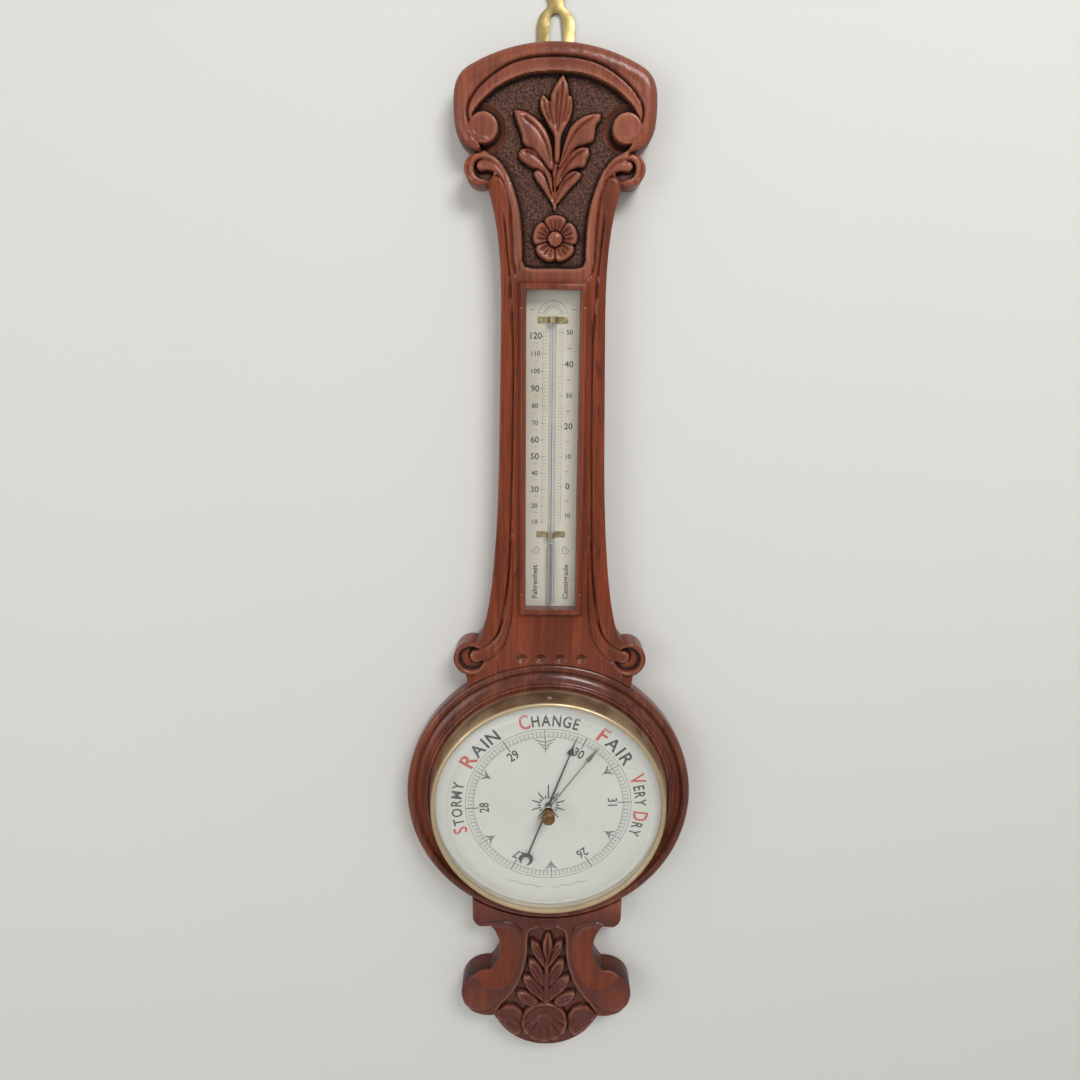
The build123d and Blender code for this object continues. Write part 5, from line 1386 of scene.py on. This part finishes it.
def dial_print():
    """Numbers, words, the graduated ring and the ornaments of the dial."""
    pieces = {"red_ink": [], "black_ink": []}
    word_on_arc("STORMY", 249, 286, 13.6, 18.0, pieces, (0,))
    word_on_arc("RAIN", 296, 328, 16.5, 20.0, pieces, (0,))
    word_on_arc("CHANGE", 341, 379, 15.5, 19.5, pieces, (0,))
    word_on_arc("FAIR", 31, 60, 16.5, 20.0, pieces, (0,))
    word_on_arc("VERY DRY", 68, 112, 14.0, 19.0, pieces, (0, 5))
    per_inch = DIAL_SPAN / INCHES
    for index in range(INCHES + 1):
        turn = (FIRST_TURN + index * per_inch) % 360
        x, drop = on_dial(NUMBER_RADIUS, turn)
        pieces["black_ink"].append(lettering(str(FIRST_INCH + index), 12.0, x, drop, DIAL_FACE, turn, 0.85))
    red = joined("dial_red_initials", pieces["red_ink"])
    finish_piece(red, "case", "white_dial", finishes["red_ink"])
    black = joined("dial_lettering", pieces["black_ink"])
    finish_piece(black, "case", "white_dial", finishes["black_ink"])

    lines = []
    per_step = per_inch / 20
    for index in range(-18, INCHES * 20 + 18):
        turn = FIRST_TURN + index * per_step
        long = index % 20 == 0
        middle = index % 10 == 0
        inner = 62.5 if long else (64.0 if middle else 67.5)
        outer = 74.4 if long or middle else 72.2
        width = 0.85 if long else (0.5 if middle else 0.34)
        lines.append((on_dial(inner, turn), on_dial(outer, turn), width))
    black_lines = printed_lines("dial_inch_lines", lines, DIAL_FACE)
    finish_piece(black_lines, "case", "white_dial", finishes["black_ink"])

    grey = []
    for radius, width in RING_LINES:
        for index in range(180):
            grey.append((on_dial(radius, index * 2), on_dial(radius, index * 2 + 2.02), width))
    for index in range(240):
        turn = index * 1.5 + 0.75
        grey.append((on_dial(67.6, turn), on_dial(70.2, turn), 0.16))
    # star round the centre
    for index in range(20):
        turn = index * 18
        reach = 15.5 if index % 2 == 0 else 10.0
        if index == 0:
            reach = 20.5
        for spread in (-3.2, -1.1, 1.1, 3.2):
            grey.append((on_dial(7.0, turn + spread * 1.6), on_dial(reach, turn + spread * 0.3), 0.5))
    # small leaf ornaments at the half inches
    for turn, tall in ((177, 6.0), (237, 5.0), (297, 5.0), (357, 10.0), (57, 5.0), (117, 5.0)):
        x, drop = on_dial(62.0, turn)
        stem = on_dial(62.0 - tall, turn)
        grey.append((on_dial(67.0, turn), stem, 0.7))
        for reach, fall in ((4.4, 0.5), (3.2, 2.6), (1.8, 4.6)):
            scale = tall / 6.0
            for side in (-1, 1):
                tip = on_dial(66.0 - fall * scale, turn + side * reach * scale)
                root = on_dial(63.2 - fall * scale, turn + side * 0.3)
                grey.append((root, tip, 0.9))
                bend = on_dial(67.0 - fall * scale, turn + side * (reach * scale + 0.9))
                grey.append((tip, bend, 0.5))
    # a plain flourish under the centre
    for side in (-1, 1):
        for index in range(14):
            a = 180 + side * (3 + index * 1.6)
            wave = 0.9 * math.sin(index * 1.1)
            after = 0.9 * math.sin((index + 1) * 1.1)
            start = on_dial(FLOURISH_RADIUS + wave, a)
            grey.append((start, on_dial(FLOURISH_RADIUS + after, a + side * 1.7), 0.45))
    ring = printed_lines("dial_ring_and_ornaments", grey, DIAL_FACE - 0.002)
    finish_piece(ring, "case", "white_dial", finishes["grey_ink"])


def fahrenheit_drop(degrees):
    """Drop of a Fahrenheit line."""
    return 251.7 + (120 - degrees) * 1.4


def celsius_drop(degrees):
    """Drop of a Celsius line."""
    return 248.9 + (50 - degrees) * 2.52


def scale_print():
    """Degrees, numbers and scale names of the thermometer plate."""
    parts, lines, grey = [], [], []
    for degrees in range(10, 121, 10):
        big = degrees % 30 == 0 or degrees == 50
        drop = fahrenheit_drop(degrees)
        parts.append(lettering(str(degrees), 7.2 if big else 5.4, -14.2, drop, SCALE_FACE))
    for degrees in range(-10, 51, 10):
        big = degrees in (0, 20, 40)
        drop = celsius_drop(degrees)
        parts.append(lettering(str(abs(degrees)), 7.2 if big else 5.4, 13.6, drop, SCALE_FACE))
    for degrees in range(10, 123, 2):
        drop = fahrenheit_drop(degrees)
        long = degrees % 10 == 0
        lines.append(((-9.4 if long else -7.4, drop), (-4.4, drop), 0.3 if long else 0.2))
        if degrees % 10 == 5 or degrees % 10 == 6:
            grey.append(((-14.6, drop), (-12.2, drop), 0.4))
    for degrees in range(-13, 52):
        drop = celsius_drop(degrees)
        long = degrees % 10 == 0
        lines.append(((4.4, drop), (9.2 if long else 7.2, drop), 0.3 if long else 0.2))
        if degrees % 10 == 5:
            lines.append(((11.8, drop), (15.0, drop), 0.5))
    for side in (-1, 1):
        lines.append(((side * 8.0, 246.5), (side * 8.0, 407.0), 0.2))
        lines.append(((side * 18.5, 231.0), (side * 14.5, 231.0), 0.4))
        # scrolls under the lower clip
        for index in range(16):
            a = math.radians(index * 26)
            b = math.radians((index + 1) * 26)
            reach_a, reach_b = 3.6 - index * 0.17, 3.6 - (index + 1) * 0.17
            grey.append(((side * (12.5 + reach_a * math.cos(a)), 430 + 1.3 * reach_a * math.sin(a)),
                         (side * (12.5 + reach_b * math.cos(b)), 430 + 1.3 * reach_b * math.sin(b)), 0.55))
    # fan over the upper clip
    for index in range(-5, 6):
        angle = math.radians(index * 15)
        grey.append(((5.0 * math.sin(angle), 236.0 - 5.0 * math.cos(angle)),
                     (12.0 * math.sin(angle), 236.0 - 12.0 * math.cos(angle)), 0.3))
    for radius in (7.5, 12.0):
        for index in range(-10, 10):
            a, b = math.radians(index * 8), math.radians((index + 1) * 8)
            grey.append(((radius * math.sin(a), 236.0 - radius * math.cos(a)),
                         (radius * math.sin(b), 236.0 - radius * math.cos(b)), 0.35))
    parts.append(lettering("Fahrenheit", 6.2, -13.4, 459.0, SCALE_FACE, -90, 1.14))
    parts.append(lettering("Centigrade", 6.2, 13.4, 459.0, SCALE_FACE, -90, 1.14))
    finish_piece(joined("scale_lettering", parts), "case", "cream_scale", finishes["black_ink"])
    black_lines = printed_lines("scale_lines", lines, SCALE_FACE)
    finish_piece(black_lines, "case", "cream_scale", finishes["black_ink"])
    ornaments = printed_lines("scale_ornaments", grey, SCALE_FACE)
    finish_piece(ornaments, "case", "cream_scale", finishes["grey_ink"])


# Settings
class BarometerWood(bpy.types.PropertyGroup):
    """Colours of the stained oak."""

    face: bpy.props.FloatVectorProperty(
        name="Face", description="Colour of the stained face", subtype="COLOR",
        default=(0.25, 0.068, 0.036))
    deep: bpy.props.FloatVectorProperty(
        name="Deep", description="Colour of the dark grain", subtype="COLOR",
        default=(0.13, 0.033, 0.019))
    rail: bpy.props.FloatVectorProperty(
        name="Rail", description="Colour of the worn rails", subtype="COLOR",
        default=(0.20, 0.037, 0.011))
    ground: bpy.props.FloatVectorProperty(
        name="Ground", description="Colour of the punched ground", subtype="COLOR",
        default=(0.145, 0.062, 0.042))
    wine: bpy.props.FloatVectorProperty(
        name="Wine", description="Stain of the apron", subtype="COLOR",
        default=(0.070, 0.014, 0.010))


class BarometerStage(bpy.types.PropertyGroup):
    """Camera, wall and lamps."""

    lens: bpy.props.FloatProperty(name="Lens", description="Focal length in millimetres", default=26.0)
    tilt: bpy.props.FloatProperty(name="Tilt", description="Downward tilt in degrees", default=13.4)
    roll: bpy.props.FloatProperty(name="Roll", description="Lean of the picture in degrees", default=0.42)
    eye: bpy.props.FloatVectorProperty(
        name="Eye", description="Place of the camera", subtype="TRANSLATION",
        default=(-0.0092, -0.668, -0.266))
    wall: bpy.props.FloatVectorProperty(
        name="Wall", description="Colour of the wall", subtype="COLOR", default=(0.62, 0.615, 0.595))
    sky: bpy.props.FloatProperty(name="Soft light", description="Strength of the even light", default=0.58)
    key: bpy.props.FloatProperty(name="Key", description="Power of the upper lamp in watts", default=28.0)
    fill: bpy.props.FloatProperty(name="Fill", description="Power of the side lamp in watts", default=8.0)


# Operators
class BAROMETER_OT_finishes(bpy.types.Operator):
    """Makes the materials and gives each node the finish of its slot"""

    bl_idname = "barometer.finishes"
    bl_label = "Finishes"

    def execute(self, context):
        make_finishes()
        slots = {s["node"]: s["material_slot"] for s in frame["record"]["subparts"]}
        for name, node in frame["nodes"].items():
            node.data.materials.clear()
            node.data.materials.append(finishes[slots[name]])
        return {"FINISHED"}


class BAROMETER_OT_case_board(bpy.types.Operator):
    """Carves the board"""

    bl_idname = "barometer.case_board"
    bl_label = "Carved board"

    def execute(self, context):
        board = carved_board()
        finish_piece(board, "case", "carved_oak", finishes["carved_oak"], "case_board")
        return {"FINISHED"}


class BAROMETER_OT_turned_work(bpy.types.Operator):
    """Turns the wooden surround"""

    bl_idname = "barometer.turned_work"
    bl_label = "Turned surround"

    def execute(self, context):
        outline = [(68.5, 10.0), (129.4, 10.0), (129.98, 10.6)]
        outline += arc((125.98, 21.5), 4.0, 0, 165, 12)
        outline += [(121.4, 21.4), (121.0, 21.0)]
        outline += [(119.6, 21.5), (117.8, 22.4), (116.2, 23.8), (114.9, 25.4), (114.0, 26.6)]
        outline += [(113.4, 27.0), (113.1, 26.7), (112.8, 27.2)]
        outline += arc((111.2, 27.3), 1.6, 0, 170, 8)
        outline += [(109.4, 27.6), (109.1, 28.2), (109.0, 29.0), (68.5, 29.0)]
        surround = spun("turned_surround", outline, 224)
        finish_piece(surround, "case", "turned_oak", finishes["turned_oak"], "dial_surround")
        return {"FINISHED"}


class BAROMETER_OT_thermometer(bpy.types.Operator):
    """Dresses the thermometer and prints its scale"""

    bl_idname = "barometer.thermometer"
    bl_label = "Thermometer"

    def execute(self, context):
        for node, slot, finish, width, segments in (
            ("thermometer_frame", "moulded_oak", "moulded_oak", 0.0005, 3),
            ("thermometer_clip_top", "aged_brass", "aged_brass", 0.0001, 1),
            ("thermometer_clip_bottom", "aged_brass", "aged_brass", 0.0001, 1),
            ("thermometer_tube", "clear_glass", "tube_glass", 0.0, 1),
            ("thermometer_mercury", "mercury", "mercury", 0.0, 1),
        ):
            finish_piece(eased(node, width, segments), "case", slot, finishes[finish], node)
        scale_print()
        return {"FINISHED"}


class BAROMETER_OT_dial(bpy.types.Operator):
    """Prints the dial"""

    bl_idname = "barometer.dial"
    bl_label = "Dial print"

    def execute(self, context):
        dial_print()
        return {"FINISHED"}


class BAROMETER_OT_bezel(bpy.types.Operator):
    """Spins the bezel and grinds the bevelled glass"""

    bl_idname = "barometer.bezel"
    bl_label = "Bezel and glass"

    def execute(self, context):
        outline = [(104.3, 29.0), (107.8, 29.0), (108.0, 29.3), (108.0, 30.1)]
        outline += [(107.8, 30.7), (107.5, 31.2), (107.2, 32.0), (105.0, 48.0)]
        outline += [(104.7, 49.1), (104.2, 49.9), (103.5, 50.35), (102.8, 50.5)]
        outline += [(102.2, 50.4), (101.7, 50.1), (101.5, 49.6), (101.5, 47.3), (104.3, 47.3)]
        bezel = spun("spun_bezel", outline, 224)
        finish_piece(bezel, "case", "bezel_brass", finishes["bezel_brass"], "bezel")
        pane = spun("bevelled_glass", [(3.15, 45.5), (103.2, 45.5), (103.2, 47.1), (101.5, 47.1),
                                       (92.0, 49.5), (3.15, 49.5)], 160)
        pane.data.materials.clear()
        pane.data.materials.append(finishes["clear_glass"])
        pane.data.materials.append(finishes["bevel_glass"])
        # the sloping faces of the bevel take the pale cover of painted reflection
        for face in pane.data.polygons:
            reach = math.hypot(face.center.x, face.center.z + DIAL_DROP * MM)
            if reach > 0.0925 and face.normal.y < -0.5:
                face.material_index = 1
        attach(pane, "case")
        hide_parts("dial_glass")
        return {"FINISHED"}


class BAROMETER_OT_hands(bpy.types.Operator):
    """Softens the hands and the knob"""

    bl_idname = "barometer.hands"
    bl_label = "Hands and knob"

    def execute(self, context):
        for node, body, slot, width in (
            ("indicator_hand", "hand", "blued_steel", 0.00008),
            ("set_hand", "set_pointer", "thin_brass", 0.00006),
            ("set_knob", "set_pointer", "knob_brass", 0.0),
            ("hanging_plate", "case", "aged_brass", 0.0002),
            ("set_bush", "case", "knob_brass", 0.0),
            ("movement_case", "case", "drum_tin", 0.0),
        ):
            finish_piece(eased(node, width, 2), body, slot, finishes[slot], node)
        return {"FINISHED"}


class BAROMETER_OT_stage(bpy.types.Operator):
    """Puts up the wall, the floor, the lamps and the camera"""

    bl_idname = "barometer.stage"
    bl_label = "Stage"

    def execute(self, context):
        settings = context.scene.barometer_stage
        gap, sweep = 0.0006, 0.25
        profile = [(gap, 1.2), (gap, -1.15)]
        for degrees in range(10, 91, 10):
            a = math.radians(degrees)
            profile.append((gap - sweep + sweep * math.cos(a), -1.15 - sweep * math.sin(a)))
        profile += [(-3.5, -1.40)]
        points = [(side * 3.0, y, z) for y, z in profile for side in (-1, 1)]
        faces = [(2 * i + 1, 2 * i, 2 * i + 2, 2 * i + 3) for i in range(len(profile) - 1)]
        wall = mesh_piece("wall_and_floor", points, faces)
        material, tree, shader, place = new_material("plaster")
        tone = tuple(settings.wall) + (1,)
        softer = tuple(v * 0.97 for v in settings.wall) + (1,)
        plaster = blend_colour(tree, noise_at(tree, place, 3, 3, 0.5), tone, softer)
        wire(tree, plaster, shader.inputs["Base Color"])
        shader.inputs["Roughness"].default_value = 0.9
        wall.data.materials.append(material)
        smooth_by_angle(wall, 60)

        world = bpy.data.worlds.new("soft_light")
        context.scene.world = world
        world.use_nodes = True
        background = world.node_tree.nodes["Background"]
        background.inputs["Color"].default_value = (1.0, 0.985, 0.96, 1)
        background.inputs["Strength"].default_value = settings.sky
        for name, at, aim, size, power in (
            ("key_lamp", (0.7, -1.5, 0.95), (0, 0, -0.5), (0.9, 0.6), settings.key),
            ("fill_lamp", (-1.3, -1.3, -0.3), (0, 0, -0.5), (1.0, 1.2), settings.fill),
        ):
            lamp = bpy.data.lights.new(name, "AREA")
            lamp.shape = "RECTANGLE"
            lamp.size, lamp.size_y = size
            lamp.energy = power
            facing = (Vector(aim) - Vector(at)).to_track_quat("-Z", "Y").to_matrix().to_4x4()
            new_object(name, lamp).matrix_world = Matrix.Translation(at) @ facing

        lens = bpy.data.cameras.new("camera")
        lens.lens = settings.lens
        lens.sensor_width = 36.0
        lens.clip_start = 0.01
        camera = new_object("camera", lens)
        turn = Matrix.Rotation(math.radians(90.0 - settings.tilt), 4, "X")
        turn = turn @ Matrix.Rotation(math.radians(settings.roll), 4, "Z")
        camera.matrix_world = Matrix.Translation(settings.eye) @ turn
        context.scene.camera = camera
        context.scene.view_settings.view_transform = "Standard"
        return {"FINISHED"}


class BAROMETER_PT_panel(bpy.types.Panel):
    """Lists the steps that build the barometer"""

    bl_label = "Barometer"
    bl_space_type = "VIEW_3D"
    bl_region_type = "UI"
    bl_category = "Barometer"

    def draw(self, context):
        for name in STEPS:
            self.layout.operator("barometer." + name)
        for group in (context.scene.barometer_wood, context.scene.barometer_stage):
            for label in group.bl_rna.properties.keys():
                if label not in ("rna_type", "name"):
                    self.layout.prop(group, label)


STEPS = ("stage", "finishes", "case_board", "turned_work", "thermometer", "dial", "bezel", "hands")
CLASSES = (
    BarometerWood,
    BarometerStage,
    BAROMETER_OT_stage,
    BAROMETER_OT_finishes,
    BAROMETER_OT_case_board,
    BAROMETER_OT_turned_work,
    BAROMETER_OT_thermometer,
    BAROMETER_OT_dial,
    BAROMETER_OT_bezel,
    BAROMETER_OT_hands,
    BAROMETER_PT_panel,
)


def register():
    for item in CLASSES:
        bpy.utils.register_class(item)
    bpy.types.Scene.barometer_wood = bpy.props.PointerProperty(type=BarometerWood)
    bpy.types.Scene.barometer_stage = bpy.props.PointerProperty(type=BarometerStage)


def unregister():
    del bpy.types.Scene.barometer_wood
    del bpy.types.Scene.barometer_stage
    for item in reversed(CLASSES):
        bpy.utils.unregister_class(item)


def main():
    register()
    deselect()
    for name in STEPS:
        if getattr(bpy.ops.barometer, name)() != {"FINISHED"}:
            raise RuntimeError("the step did not finish: " + name)
    deselect()
    bpy.context.view_layer.update()


if __name__ == "__main__":
    main()
